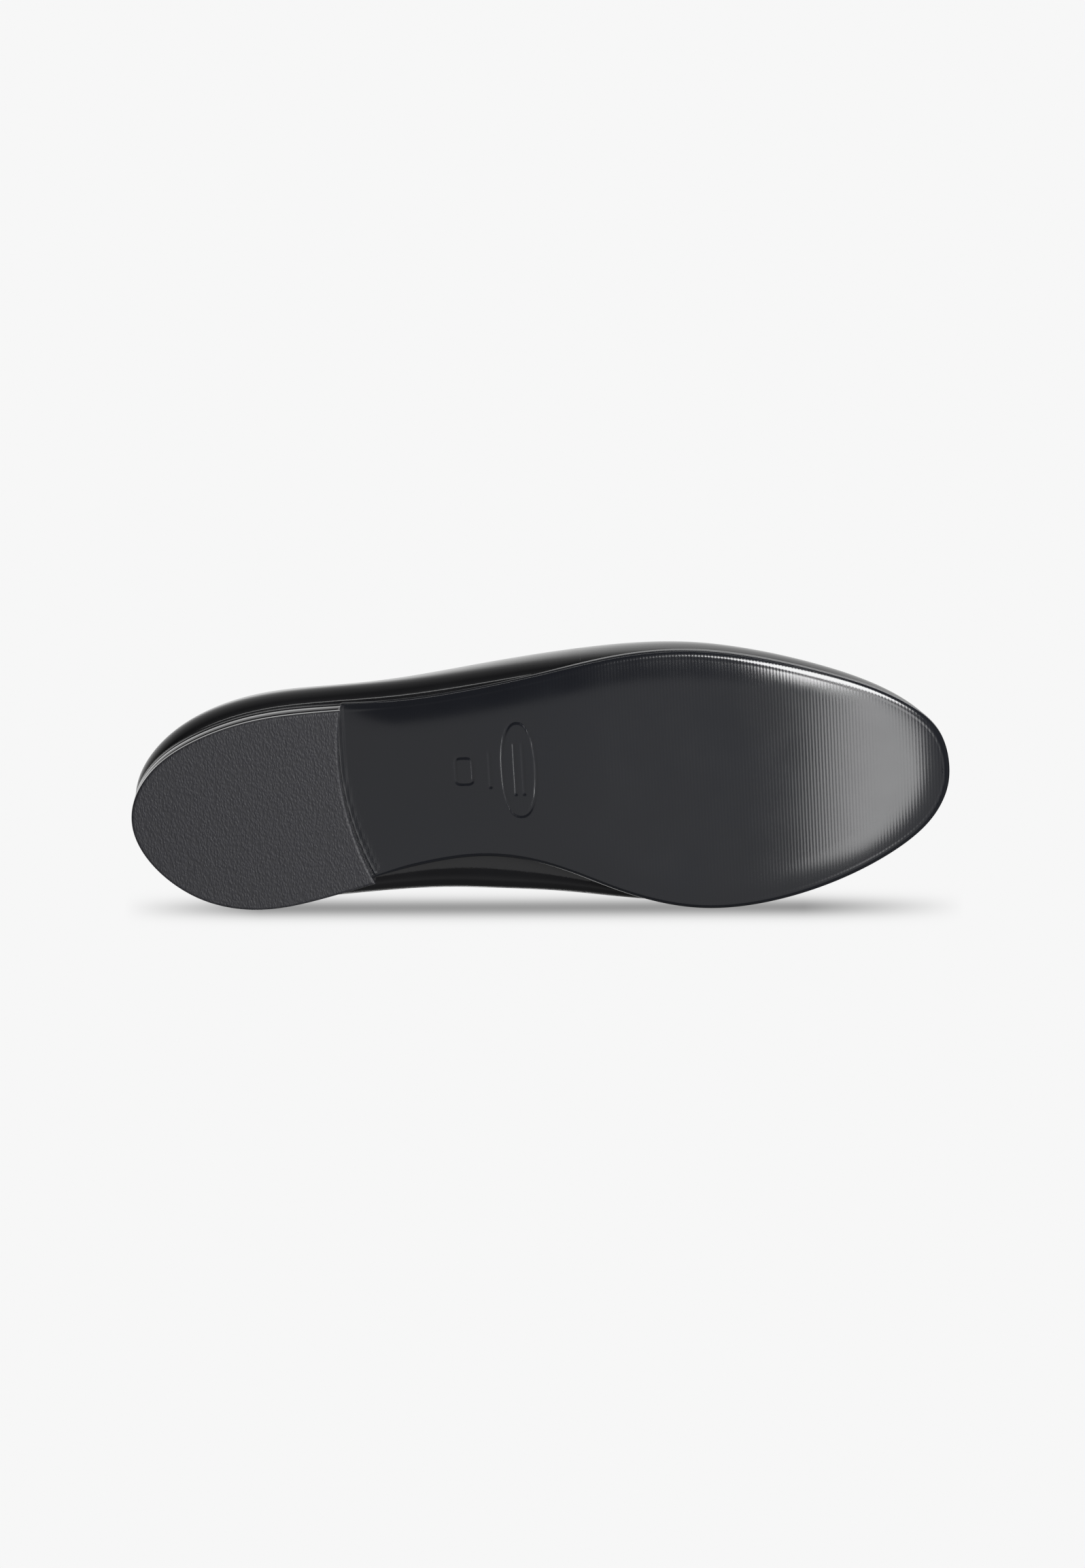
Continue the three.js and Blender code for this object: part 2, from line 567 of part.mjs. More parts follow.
function topLift() {
  return block(heelPlan(), [
    { inset: TOP_LIFT_ROUND, z: 0 },
    { inset: 0, z: TOP_LIFT_ROUND },
    { inset: 0, z: TOP_LIFT_THICKNESS },
  ]);
}

// The heel block is a tall prism cut to the underside of the sole.
function heelBlock() {
  const prism = block(heelPlan(), [
    { inset: 0, z: TOP_LIFT_THICKNESS + CLEARANCE },
    { inset: 0, z: HEEL_HEIGHT + SOLE_THICKNESS },
  ]);
  const under = plate(() => wholeSole(-SOLE_THICKNESS), true, [
    { inset: 0, z: () => -SOLE_THICKNESS },
    { inset: 0, z: (x) => soleBottom(x) - CLEARANCE },
  ]);
  const cut = fromSolid(toSolid(prism).intersect(toSolid(under)));
  return drilled(cut, nailHoles(NAIL_HOLE));
}

function insoleBoard() {
  const inset = SOLE_MARGIN + UPPER_THICKNESS + 2 * CLEARANCE;
  const layers = [{ inset, z: boardBottom }, { inset, z: boardTop }];
  const holes = [...nailHoles(NAIL_HEAD_RADIUS + CLEARANCE), ...rivetHoles()];
  return drilled(plate(wholeSole, true, layers), holes);
}

function sockLining() {
  const inset = SOLE_MARGIN + LINING_BOTTOM + 2 * CLEARANCE;
  const loop = () => OUTLINE_TURNS.map((u) => plan(u, SOCK_REACH * standingOut(u) - inset));
  return plate(loop, true, [{ inset, z: sockBottom }, { inset, z: sockTop }]);
}

function heelPad() {
  const inset = SOLE_MARGIN + GRIP_TOP + GRIP_THICKNESS + CLEARANCE;
  const padBottom = (x) => sockTop(x) + CLEARANCE;
  return plate(soleBack(HEEL_PAD_LENGTH), true, [
    { inset, z: padBottom },
    { inset, z: (x) => padBottom(x) + HEEL_PAD_THICKNESS / 2 },
    { inset: inset + HEEL_PAD_THICKNESS, z: (x) => padBottom(x) + HEEL_PAD_THICKNESS },
  ]);
}

function forepartFiller() {
  const inset = SOLE_MARGIN + LASTING_MARGIN + 2 * CLEARANCE;
  const layers = [{ inset, z: marginFloor }, { inset, z: (x) => marginFloor(x) + UPPER_THICKNESS }];
  return plate(soleBetween(FILLER_START, FILLER_START + FILLER_LENGTH), false, layers);
}

function shank() {
  const loop = () => {
    const sides = evenly(0, 1, PLATE_STEPS).map((t) => {
      const x = SHANK_START + SHANK_LENGTH * t;
      const end = (Math.min(t, 1 - t) * SHANK_LENGTH) / (SHANK_WIDTH / 2);
      const half = (SHANK_WIDTH / 2) * (end < 1 ? Math.sqrt(1 - (1 - end) ** 2) : 1) + CLEARANCE;
      return { x, y: shankMiddle(x), half };
    });
    return [...sides.map(({ x, y, half }) => ({ x, y: y - half })),
      ...sides.map(({ x, y, half }) => ({ x, y: y + half })).reverse()];
  };
  const layers = [{ inset: 0, z: marginFloor }, { inset: 0, z: (x) => marginFloor(x) + UPPER_THICKNESS }];
  return drilled(plate(loop, false, layers), rivetHoles());
}

function heelNail({ x, y }) {
  const top = boardTop(x) - CLEARANCE;
  const silhouette = [[0, NAIL_TIP], [NAIL_RADIUS, NAIL_TIP + 2 * NAIL_RADIUS],
    [NAIL_RADIUS, top - NAIL_HEAD_THICKNESS], [NAIL_HEAD_RADIUS, top - NAIL_HEAD_THICKNESS],
    [NAIL_HEAD_RADIUS, top], [0, top]].map(([r, z]) => new THREE.Vector2(r, z));
  return new THREE.LatheGeometry(silhouette, NAIL_SIDES).rotateX(Math.PI / 2).translate(x, y, 0);
}

const shankRivet = (at) =>
  post(at, RIVET_RADIUS, soleTop(at.x) + 2 * CLEARANCE, boardTop(at.x) - CLEARANCE);

// ---- Assembly ----
const finish = (color, roughness, metalness = 0) =>
  new THREE.MeshStandardMaterial({ color, roughness, metalness });
const shoe = new THREE.Group();
function addPiece(name, geometry, material) {
  const piece = new THREE.Mesh(geometry, material);
  piece.name = name;
  shoe.add(piece);
}

addPiece("outsole", outsole(), finish(0x17181b, 0.3));
addPiece("heel_block", heelBlock(), finish(0x101012, 0.22));
addPiece("top_lift", topLift(), finish(0x242427, 0.65));
addPiece("insole_board", insoleBoard(), finish(0x9a7b55, 0.85));
addPiece("shank", shank(), finish(0x8d9094, 0.35, 1));
rivetPlaces.forEach((at, i) => addPiece(`shank_rivet_${i + 1}`, shankRivet(at), finish(0x9a9da0, 0.3, 1)));
addPiece("forepart_filler", forepartFiller(), finish(0xa77b4d, 0.95));
nailPlaces.forEach((at, i) => addPiece(`heel_nail_${i + 1}`, heelNail(at), finish(0x85888c, 0.35, 1)));
addPiece("sock_lining", sockLining(), finish(0x1d1c1d, 0.6));
addPiece("heel_pad", heelPad(), finish(0x232223, 0.55));
addPiece("upper", wholeCutUpper(), finish(0x0e0e10, 0.12));
addPiece("back_strap", backStrap(), finish(0x0e0e10, 0.14));
addPiece("topline_binding", toplineBinding(), finish(0x121214, 0.3));
addPiece("toe_puff", toePuff(), finish(0xcfc6b4, 0.8));
addPiece("heel_counter", heelCounter(), finish(0xb58d62, 0.7));
addPiece("vamp_lining", vampLining(), finish(0x2a2929, 0.9));
addPiece("quarter_lining_outer", quarterLining(-1), finish(0x2c2b2b, 0.6));
addPiece("quarter_lining_inner", quarterLining(1), finish(0x2c2b2b, 0.6));
addPiece("heel_grip", heelGrip(), finish(0x343233, 0.95));

// The origin is the middle of the box that the shoe stands in, at the ground.
shoe.updateMatrixWorld(true);
const box = new THREE.Box3().setFromObject(shoe, true);
const middle = box.getCenter(new THREE.Vector3());
shoe.children.forEach((piece) => piece.geometry.translate(-middle.x, -middle.y, -box.min.z));

export default shoe;
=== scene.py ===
"""A low-heeled slip-on shoe for the right foot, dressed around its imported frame.

Plans and side views are worked out in millimetres from the heel back, as a shoemaker measures them:
x runs to the toe, y to the inner (big-toe) side, z up from the ground. Meshes are made in metres.
"""

import math

import bmesh
import bpy
import mathutils
import numpy as np
from mathutils import Matrix, Vector


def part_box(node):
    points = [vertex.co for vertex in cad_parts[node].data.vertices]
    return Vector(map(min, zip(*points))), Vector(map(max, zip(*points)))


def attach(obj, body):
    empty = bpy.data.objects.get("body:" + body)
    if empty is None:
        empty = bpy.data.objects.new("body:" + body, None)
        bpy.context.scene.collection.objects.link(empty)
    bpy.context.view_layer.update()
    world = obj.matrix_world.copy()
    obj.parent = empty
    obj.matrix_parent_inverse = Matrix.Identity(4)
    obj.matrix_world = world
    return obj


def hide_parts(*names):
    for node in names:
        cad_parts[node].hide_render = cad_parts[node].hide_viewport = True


bl_info = {
    "name": "Slip-on Shoe",
    "version": (1, 0, 0),
    "blender": (4, 5, 0),
    "location": "3D View > Sidebar > Shoe",
    "description": "Builds a glossy low-heeled slip-on shoe round its packed frame",
    "category": "Object",
}

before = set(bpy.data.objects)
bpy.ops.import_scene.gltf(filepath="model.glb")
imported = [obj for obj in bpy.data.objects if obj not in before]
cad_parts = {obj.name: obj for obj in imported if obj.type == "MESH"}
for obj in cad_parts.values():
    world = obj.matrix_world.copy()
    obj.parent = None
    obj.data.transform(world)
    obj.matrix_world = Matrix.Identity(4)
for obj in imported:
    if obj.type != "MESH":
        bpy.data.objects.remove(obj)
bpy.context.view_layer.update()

MM = 0.001
GAP = 0.3  # play between two glued pieces
SAMPLES = 4096  # samples of a smoothed curve
SAME_PLACE = 2e-6  # points closer than this, in metres, are one
BACK_SEAM = 0.0003  # half the play at the back seam, in turns
CORNER = math.radians(38)  # edges that turn more than this are drawn sharp

# Plan stations, heel to toe: place along the length, reach to the outer and inner side as shares of the
# ball's width, then how far the upper bulges past the sole on each side, in millimetres.
STATIONS = (
    (0.009, 0.069, 0.145, 0.5, 0.3),
    (0.037, 0.176, 0.262, 1.0, 0.6),
    (0.086, 0.261, 0.367, 2.2, 1.1),
    (0.157, 0.324, 0.410, 2.2, 2.0),
    (0.243, 0.339, 0.362, 2.4, 5.9),
    (0.333, 0.344, 0.296, 3.2, 10.2),
    (0.424, 0.382, 0.250, 3.0, 14.1),
    (0.510, 0.431, 0.300, 1.8, 11.6),
    (0.596, 0.483, 0.427, -0.4, 3.9),
    (0.686, 0.494, 0.504, -0.9, -1.0),
    (0.773, 0.446, 0.489, -0.7, -1.3),
    (0.851, 0.370, 0.433, -0.6, -1.3),
    (0.918, 0.287, 0.350, -1.1, -1.4),
    (0.969, 0.181, 0.250, -1.2, -1.4),
    (0.993, 0.086, 0.145, -1.3, -1.3),
)
HEEL_BACK_SIDE = 0.036
TOE_TIP_SIDE = 0.048
TOE_TIP_BULGE = -1.4
RIDGE = (
    (0.18, 99.0), (0.31, 85.0), (0.41, 73.0), (0.50, 62.0), (0.57, 54.5),
    (0.65, 46.0), (0.73, 39.0), (0.80, 34.0), (0.87, 29.5),
)
TOPLINE = (
    (0.00, 56.5), (0.10, 53.5), (0.20, 47.0), (0.30, 42.0),
    (0.40, 40.5), (0.48, 44.0), (0.54, 52.5), (0.60, 66.0),
)


# ---------------------------------------------------------------- sizes and colours a user would change
def length(name, description, default):
    return bpy.props.FloatProperty(name=name, description=description, default=default, unit="LENGTH")


def colour(name, description, default):
    return bpy.props.FloatVectorProperty(
        name=name, description=description, default=default, size=3, subtype="COLOR", min=0.0, max=1.0)


class ShoeSizes(bpy.types.PropertyGroup):
    sole_length: length("Sole length", "Heel back to toe tip", 0.255)
    ball_width: length("Ball width", "Widest part of the sole", 0.084)
    sole_thickness: length("Sole thickness", "Leather of the outsole", 0.004)
    heel_height: length("Heel height", "Ground to the underside of the sole at the heel", 0.0095)
    top_lift: length("Top lift", "Thickness of the heel's wearing layer", 0.0035)
    toe_spring: length("Toe spring", "Rise of the sole's tip off the ground", 0.008)
    upper_thickness: length("Upper thickness", "Leather of the upper", 0.0013)
    binding_height: length("Binding height", "Bead round the topline", 0.0028)
    stitch_pitch: length("Stitch pitch", "From one stitch to the next", 0.0026)


class ShoeColours(bpy.types.PropertyGroup):
    upper: colour("Upper", "High-gloss leather of the upper", (0.0045, 0.0045, 0.005))
    sole: colour("Sole", "Glossed sole leather", (0.0045, 0.0047, 0.0058))
    heel: colour("Heel", "Burnished heel edge", (0.008, 0.008, 0.009))
    top_lift: colour("Top lift", "Grained rubber under the heel", (0.0075, 0.0075, 0.0098))
    lining: colour("Lining", "Leather and textile inside", (0.022, 0.021, 0.021))
    sock: colour("Sock", "Leather under the foot", (0.016, 0.015, 0.015))
    thread: colour("Thread", "Stitching", (0.008, 0.008, 0.008))
    floor: colour("Floor", "Studio floor", (0.86, 0.86, 0.86))


def sizes():
    return bpy.context.scene.shoe_sizes


def colours():
    return bpy.context.scene.shoe_colours


def paint(name):
    return tuple(getattr(colours(), name))


# ---------------------------------------------------------------- curves of the shoe
def closed_spline(points, count):
    """Centripetal spline through a closed ring of points, evenly sampled by point number."""
    points = np.asarray(points, float)
    ring = len(points)
    at = np.arange(count) * ring / count
    k = at.astype(int)
    t = (at - k)[:, None]
    p0, p1, p2, p3 = (points[(k + i) % ring] for i in (-1, 0, 1, 2))
    d0, d1, d2 = (np.sqrt(np.linalg.norm(b - a, axis=1))[:, None] for a, b in ((p0, p1), (p1, p2), (p2, p3)))
    t1 = ((p1 - p0) / d0 - (p2 - p0) / (d0 + d1) + (p2 - p1) / d1) * d1
    t2 = ((p2 - p1) / d1 - (p3 - p1) / (d1 + d2) + (p3 - p2) / d2) * d1
    return p1 + t1 * t + (-3 * p1 + 3 * p2 - 2 * t1 - t2) * t**2 + (2 * p1 - 2 * p2 + t1 + t2) * t**3


def blur_ring(table, sigma):
    """A ring of samples rounded by a bell curve sigma samples wide."""
    wave = np.fft.rfftfreq(len(table))[:, None]
    kept = np.exp(-2 * (math.pi * sigma * wave) ** 2)
    return np.fft.irfft(np.fft.rfft(table, axis=0) * kept, len(table), axis=0)


def outline_ring():
    long, wide = sizes().sole_length / MM, sizes().ball_width / MM
    outer = [(a * long, -o * wide, bulge) for a, o, _, bulge, _ in STATIONS]
    inner = [(a * long, i * wide, bulge) for a, _, i, _, bulge in STATIONS]
    ring = [(0, HEEL_BACK_SIDE * wide, 0), *outer, (long, TOE_TIP_SIDE * wide, TOE_TIP_BULGE), *inner[::-1]]
    return blur_ring(closed_spline(ring, SAMPLES), 0.4 * SAMPLES / len(ring))


def side_view(table):
    """A smooth height curve over the stations, as a function of x."""
    long = sizes().sole_length / MM
    x = np.arange(-60.0, long + 60.0)
    stations, heights = np.array(table).T
    y = np.interp(x, stations * long, heights)
    bell = np.exp(-0.5 * (np.arange(-30, 31) / 8.0) ** 2)
    y = np.convolve(np.pad(y, 30, mode="edge"), bell / bell.sum(), mode="valid")
    return lambda at: np.interp(at, x, y)


class Last:
    """The shape that the shoe is built on: its plan, its side view and the surface of the upper."""

    margin = 1.5  # how far the sole stands out past the foot of the upper
    waist_start, tread_start, tread_end = 45.0, 150.0, 188.0
    spring_power = 1.85
    board = 2.0  # insole board
    lift_off = 0.04  # play between the sole and the upper on it
    bulge_fall = (110.0, 215.0)  # where the widest line falls from one height to the other
    ridge_side, ridge_shift, ridge_creep = 3.0, 2.0, 0.01
    heel_bulge = 10.0
    toe_bulge = 8.0
    ridge_from, ridge_to, ridge_blend = 46.0, 219.0, 6.0
    wall_curve = (1.25, 2.2, 60.0, 160.0)  # the section's roundness, back and front, and where it changes
    widest = 0.3  # rail share at which the upper is widest

    def __init__(self):
        self.ring = outline_ring()
        self.ridge = side_view(RIDGE)
        self.topline = side_view(TOPLINE)
        self.throat = self.find_throat()

    def plan(self, u, outward=0.0):
        """x, y and bulge of the outline at turns u (heel back 0, toe 0.5), moved outwards."""
        u = np.asarray(u, float)
        grid = np.arange(SAMPLES + 1) / SAMPLES
        looped = np.vstack([self.ring, self.ring[:1]])
        x, y, bulge = (np.interp(u % 1, grid, looped[:, i]) for i in range(3))
        step = 2.0 / SAMPLES
        ahead = [np.interp((u + step) % 1, grid, looped[:, i]) for i in (0, 1)]
        behind = [np.interp((u - step) % 1, grid, looped[:, i]) for i in (0, 1)]
        dx, dy = ahead[0] - behind[0], ahead[1] - behind[1]
        size = np.hypot(dx, dy)
        return x + dy / size * outward, y - dx / size * outward, bulge

    @staticmethod
    def share(x, low, high):
        return np.clip((x - low) / (high - low), 0.0, 1.0)

    @classmethod
    def ease(cls, x, low, high):
        t = cls.share(x, low, high)
        return t * t * (3 - 2 * t)

    def sole_bottom(self, x):
        s = sizes()
        fall = 1 - self.ease(x, self.waist_start, self.tread_start)
        spring = self.share(x, self.tread_end, s.sole_length / MM) ** self.spring_power
        return s.heel_height / MM * fall + s.toe_spring / MM * spring

    def sole_top(self, x):
        return self.sole_bottom(x) + sizes().sole_thickness / MM

    def sock_bottom(self, x):
        return self.sole_top(x) + 3 * GAP + sizes().upper_thickness / MM + self.board

    def station(self, u):
        return (self.plan(u)[0] + self.plan(-u)[0]) / 2

    def ridge_point(self, u):
        x = self.station(np.minimum(u % 1, 1 - u % 1))
        blend = self.ridge_blend
        soft = [blend * np.logaddexp(0, (x - edge) / blend) for edge in (self.ridge_from, self.ridge_to)]
        along = self.ridge_from + soft[0] - soft[1] + self.ridge_creep * (x - self.ridge_to)
        side = self.ridge_side + self.ridge_shift * self.share(along, self.ridge_from, self.ridge_to)
        return along, side, self.sole_top(along) + self.ridge(along)

    def rail(self, u, v):
        """Points of the upper: v is 0 at its foot and 1 on the ridge; below 0 it turns under, in mm."""
        u, v = np.broadcast_arrays(np.asarray(u, float), np.asarray(v, float))
        under = np.minimum(v, 0.0)
        fx, fy, bulge = self.plan(u, under - self.margin)
        wx, wy, _ = self.plan(u, 0.0)
        nx, ny, _ = self.plan(u, 1.0)
        wx, wy = wx + (nx - wx) * bulge, wy + (ny - wy) * bulge
        floor = self.sole_top(fx) + self.lift_off
        high = self.heel_bulge + (self.toe_bulge - self.heel_bulge) * self.ease(wx, *self.bulge_fall)
        low_angle = np.clip(v / self.widest, 0, 1) * math.pi / 2
        up_angle = np.clip((v - self.widest) / (1 - self.widest), 0, 1) * math.pi / 2
        cx, cy, cz = self.ridge_point(u)
        back, front, start, end = self.wall_curve
        power = 2 / (back + (front - back) * self.ease(wx, start, end))
        inward = 1 - np.maximum(np.cos(up_angle), 0) ** power
        upward = np.sin(up_angle) ** power
        out = np.sin(low_angle)
        lower = np.stack([fx + (wx - fx) * out, fy + (wy - fy) * out,
                          floor + high * (1 - np.cos(low_angle))], -1)
        upper = np.stack([wx + (cx - wx) * inward, wy + (cy - wy) * inward,
                          floor + high + (cz - floor - high) * upward], -1)
        return np.where((v <= self.widest)[..., None], lower, upper)

    def stacked(self, u, v):
        """Unit directions out of the shoe at rail points; straight down where the leather turns under."""
        u, v = np.broadcast_arrays(np.asarray(u, float), np.asarray(v, float))
        step = 2e-3
        low, high = np.maximum(v - 0.01, 0), np.clip(v + 0.01, 0.02, 1)
        around = self.rail(u + step, np.maximum(v, 0)) - self.rail(u - step, np.maximum(v, 0))
        along = self.rail(u, high) - self.rail(u, low)
        out = np.cross(around, along)
        out /= np.maximum(np.linalg.norm(out, axis=-1, keepdims=True), 1e-12)
        x, _, _ = self.ridge_point(u)
        rise = [self.sole_top(x + d) + self.ridge(x + d) for d in (1.0, -1.0)]
        crest = np.stack([(rise[1] - rise[0]) / 2, 0 * x, np.ones_like(x)], -1)
        crest /= np.linalg.norm(crest, axis=-1, keepdims=True)
        out = np.where((v > 0.9995)[..., None], crest, out)
        return np.where((v < 0)[..., None], np.array([0.0, 0.0, -1.0]), out)

    def rail_at(self, u, height):
        """The rail share at which rails u reach a height above the sole, given over the station."""
        u = np.asarray(u, float)
        x = self.station(u)
        target = self.sole_top(x) + height(x)
        low, high = np.zeros_like(u), np.ones_like(u)
        for _ in range(26):
            middle = (low + high) / 2
            below = self.rail(u, middle)[..., 2] < target
            low, high = np.where(below, middle, low), np.where(below, high, middle)
        return np.where(high > 0.9999, 1.0, high)

    def top_share(self, u):
        return self.rail_at(u, self.topline)

    def find_throat(self):
        low, high = 0.15, 0.4
        for _ in range(30):
            middle = (low + high) / 2
            low, high = (middle, high) if self.top_share(np.array([middle]))[0] < 1 else (low, middle)
        return high

    def turn_at(self, x):
        low, high = 0.0, 0.5
        for _ in range(30):
            middle = (low + high) / 2
            low, high = (middle, high) if self.plan(middle)[0] < x else (low, middle)
        return low


# ---------------------------------------------------------------- from millimetres on the last to meshes
def outline_low():
    """The outline's furthest reach to the outer side."""
    return outline_ring()[:, 1].min()


def to_frame(points):
    """Points in millimetres from the heel back, moved to the row's frame in metres."""
    low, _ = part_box("outsole")
    side = low.y - outline_low() * MM
    return np.asarray(points, float) * MM + np.array([low.x, side, 0.0])


def make_piece(name, points, faces, material, node=None):
    """A mesh piece that rides on the shoe and may stand for a CAD node."""
    mesh = bpy.data.meshes.new(name)
    mesh.from_pydata([tuple(p) for p in to_frame(points)], [], [tuple(f) for f in faces])
    mesh.validate()
    piece = bpy.data.objects.new(name, mesh)
    bpy.context.scene.collection.objects.link(piece)
    work = bmesh.new()
    work.from_mesh(mesh)
    bmesh.ops.remove_doubles(work, verts=work.verts, dist=SAME_PLACE)
    bmesh.ops.recalc_face_normals(work, faces=work.faces)
    work.to_mesh(mesh)
    work.free()
    for polygon in mesh.polygons:
        polygon.use_smooth = True
    mesh.set_sharp_from_angle(angle=CORNER)
    mesh.materials.append(material)
    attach(piece, "root")
    if node:
        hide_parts(node)
    return piece


def grid_faces(columns, rows):
    return [(i * rows + j, (i + 1) * rows + j, (i + 1) * rows + j + 1, i * rows + j + 1)
            for i in range(columns - 1) for j in range(rows - 1)]


def ring_faces(a, b, count):
    """Quads between two rings of points that start at a and at b."""
    return [(a + i, a + (i + 1) % count, b + (i + 1) % count, b + i) for i in range(count)]


def wall_faces(rings, count):
    """Quads between rings of points that follow one another."""
    return [f for k in range(rings - 1) for f in ring_faces(k * count, (k + 1) * count, count)]


def cap_faces(base, count):
    """Closes a ring from side to side, starting at its first point."""
    faces = [(base, base + 1, base + count - 1)]
    faces += [(base + i, base + i + 1, base + count - i - 1, base + count - i)
              for i in range(1, (count - 1) // 2)]
    if count % 2 == 0:
        half = base + count // 2
        faces.append((half - 1, half, half + 1))
    return faces


def shell(at, stacked, outer, inner):
    """A closed sheet over a grid of surface points, between two depths measured in along the directions."""
    flat = at.reshape(-1, 3)
    _, first, same = np.unique(np.round(flat, 3), axis=0, return_index=True, return_inverse=True)
    same = same.reshape(at.shape[:2])
    corners, out = flat[first], stacked.reshape(-1, 3)[first]
    depth = [np.broadcast_to(np.asarray(d, float), at.shape[:2]).reshape(-1)[first][:, None]
             for d in (outer, inner)]
    count = len(corners)
    quads = []
    for i in range(same.shape[0] - 1):
        for j in range(same.shape[1] - 1):
            ring = (same[i, j], same[i + 1, j], same[i + 1, j + 1], same[i, j + 1])
            quad = [int(a) for k, a in enumerate(ring) if a != ring[k - 1]]
            if len(set(quad)) == len(quad) > 2:
                quads.append(quad)
    edges = {(a, b) for q in quads for a, b in zip(q, q[1:] + q[:1])}
    faces = quads + [[a + count for a in reversed(q)] for q in quads]
    faces += [[b, a, a + count, b + count] for a, b in sorted(edges) if (b, a) not in edges]
    return np.concatenate([corners - out * depth[0], corners - out * depth[1]]), faces


def rail_grid(last, turns, low, high, rows, ease=0):
    """Surface points and outward directions, evenly spaced up each rail between two rail shares."""
    fine = 240
    v = low[:, None] + (high - low)[:, None] * np.linspace(0, 1, fine)[None, :]
    dense = last.rail(turns[:, None], v)
    walk = np.concatenate([np.zeros((len(turns), 1)),
                           np.cumsum(np.linalg.norm(np.diff(dense, axis=1), axis=2), axis=1)], 1)
    share = np.linspace(0, 1, rows)
    even = np.array([np.interp(share * w[-1], w, row) for w, row in zip(walk, v)])
    at = last.rail(turns[:, None], even)
    for _ in range(ease):
        at[:, 1:-1] = 0.25 * at[:, :-2] + 0.5 * at[:, 1:-1] + 0.25 * at[:, 2:]
    return at, last.stacked(turns[:, None], even)


def toe_turns(last, start, count):
    """Turns from a start on the outer side round the toe to the same place inside, denser at the throat."""
    throat = last.throat
    half = np.linspace(start, 0.5, count)
    near = throat - (throat - start) * np.linspace(0.0, 0.35, 24) ** 2.2 if start < throat else []
    half = np.unique(np.concatenate([half, near, [throat]]))
    return np.concatenate([half, (1 - half)[::-1][1:]])


# ---------------------------------------------------------------- materials
class Nodes:
    """A material's node tree, written one node at a time."""

    def __init__(self, name):
        self.material = bpy.data.materials.new(name)
        self.material.use_nodes = True
        self.tree = self.material.node_tree
        self.shader = self.tree.nodes["Principled BSDF"]
        self.place = self.add("ShaderNodeTexCoord").outputs["Object"]

    def add(self, kind, settings=None, **inputs):
        node = self.tree.nodes.new(kind)
        for key, value in (settings or {}).items():
            setattr(node, key, value)
        for key, value in inputs.items():
            self.feed(node.inputs[key.replace("_", " ")], value)
        return node

    def feed(self, socket, value):
        if isinstance(value, bpy.types.NodeSocket):
            self.tree.links.new(value, socket)
        else:
            socket.default_value = value

    def scaled(self, scale):
        mapping = self.add("ShaderNodeMapping", Vector=self.place)
        mapping.inputs["Scale"].default_value = scale
        return mapping.outputs["Vector"]

    def noise(self, scale, detail=3.0, roughness=0.5, stretch=None):
        where = self.scaled(stretch) if stretch else self.place
        return self.add("ShaderNodeTexNoise", Vector=where, Scale=scale, Detail=detail,
                        Roughness=roughness).outputs["Fac"]

    def cells(self, scale, vector=None, **smoothness):
        """Distance to the nearest of scattered points; smooth where a Smoothness is given."""
        feature = "SMOOTH_F1" if smoothness else "F1"
        return self.add("ShaderNodeTexVoronoi", {"feature": feature}, Vector=vector or self.place,
                        Scale=scale, **smoothness).outputs["Distance"]

    def facing_down(self, full, none):
        """1 where the normal's upward part is below full, fading to 0 above none."""
        lean = self.add("ShaderNodeSeparateXYZ", Vector=self.add("ShaderNodeNewGeometry").outputs["Normal"])
        return self.spread(lean.outputs["Z"], 1.0, 0.0, full, none)

    def ribs(self, pitch, direction="X", distortion=0.0):
        """Fine straight ribs, one per pitch in metres."""
        return self.add("ShaderNodeTexWave", {"bands_direction": direction}, Vector=self.place,
                        Scale=math.pi / 10 / pitch, Distortion=distortion, Detail=1.0).outputs["Fac"]

    def spread(self, value, low, high, start=0.0, end=1.0):
        node = self.add("ShaderNodeMapRange", Value=value)
        for key, number in (("From Min", start), ("From Max", end), ("To Min", low), ("To Max", high)):
            node.inputs[key].default_value = number
        return node.outputs["Result"]

    def math(self, operation, *values):
        node = self.add("ShaderNodeMath", {"operation": operation})
        for socket, value in zip(node.inputs, values):
            self.feed(socket, value)
        return node.outputs[0]

    def blend(self, fraction, first, second):
        node = self.add("ShaderNodeMix", {"data_type": "RGBA"})
        self.feed(node.inputs[0], fraction)
        self.feed(node.inputs[6], (*first, 1.0) if isinstance(first, tuple) else first)
        self.feed(node.inputs[7], (*second, 1.0) if isinstance(second, tuple) else second)
        return node.outputs[2]

    def bump(self, height, distance, strength=1.0):
        """Relief in metres, laid over any relief given before."""
        node = self.add("ShaderNodeBump", Height=height)
        node.inputs["Strength"].default_value = strength
        node.inputs["Distance"].default_value = distance
        normal = self.shader.inputs["Normal"]
        if normal.is_linked:
            self.tree.links.new(normal.links[0].from_socket, node.inputs["Normal"])
        self.tree.links.new(node.outputs["Normal"], normal)

    def set(self, **values):
        for key, value in values.items():
            self.feed(self.shader.inputs[key.replace("_", " ")], value)

    def colour(self, socket):
        self.tree.links.new(socket, self.shader.inputs["Base Color"])

    def roughness(self, socket):
        self.tree.links.new(socket, self.shader.inputs["Roughness"])


def darker(rgb, factor):
    return tuple(channel * factor for channel in rgb)


def gloss_leather(name, rgb, roughness=0.1, grain=0.00001):
    n = Nodes(name)
    n.colour(n.blend(n.noise(60, 4), darker(rgb, 0.75), darker(rgb, 1.5)))
    n.roughness(n.spread(n.noise(140, 5, 0.6), roughness * 0.8, roughness * 1.35, 0.3, 0.7))
    n.bump(n.cells(1300, Smoothness=0.6), grain, 0.5)
    n.bump(n.noise(70, 2), 0.00006, 0.35)
    n.set(IOR=1.5)
    return n.material


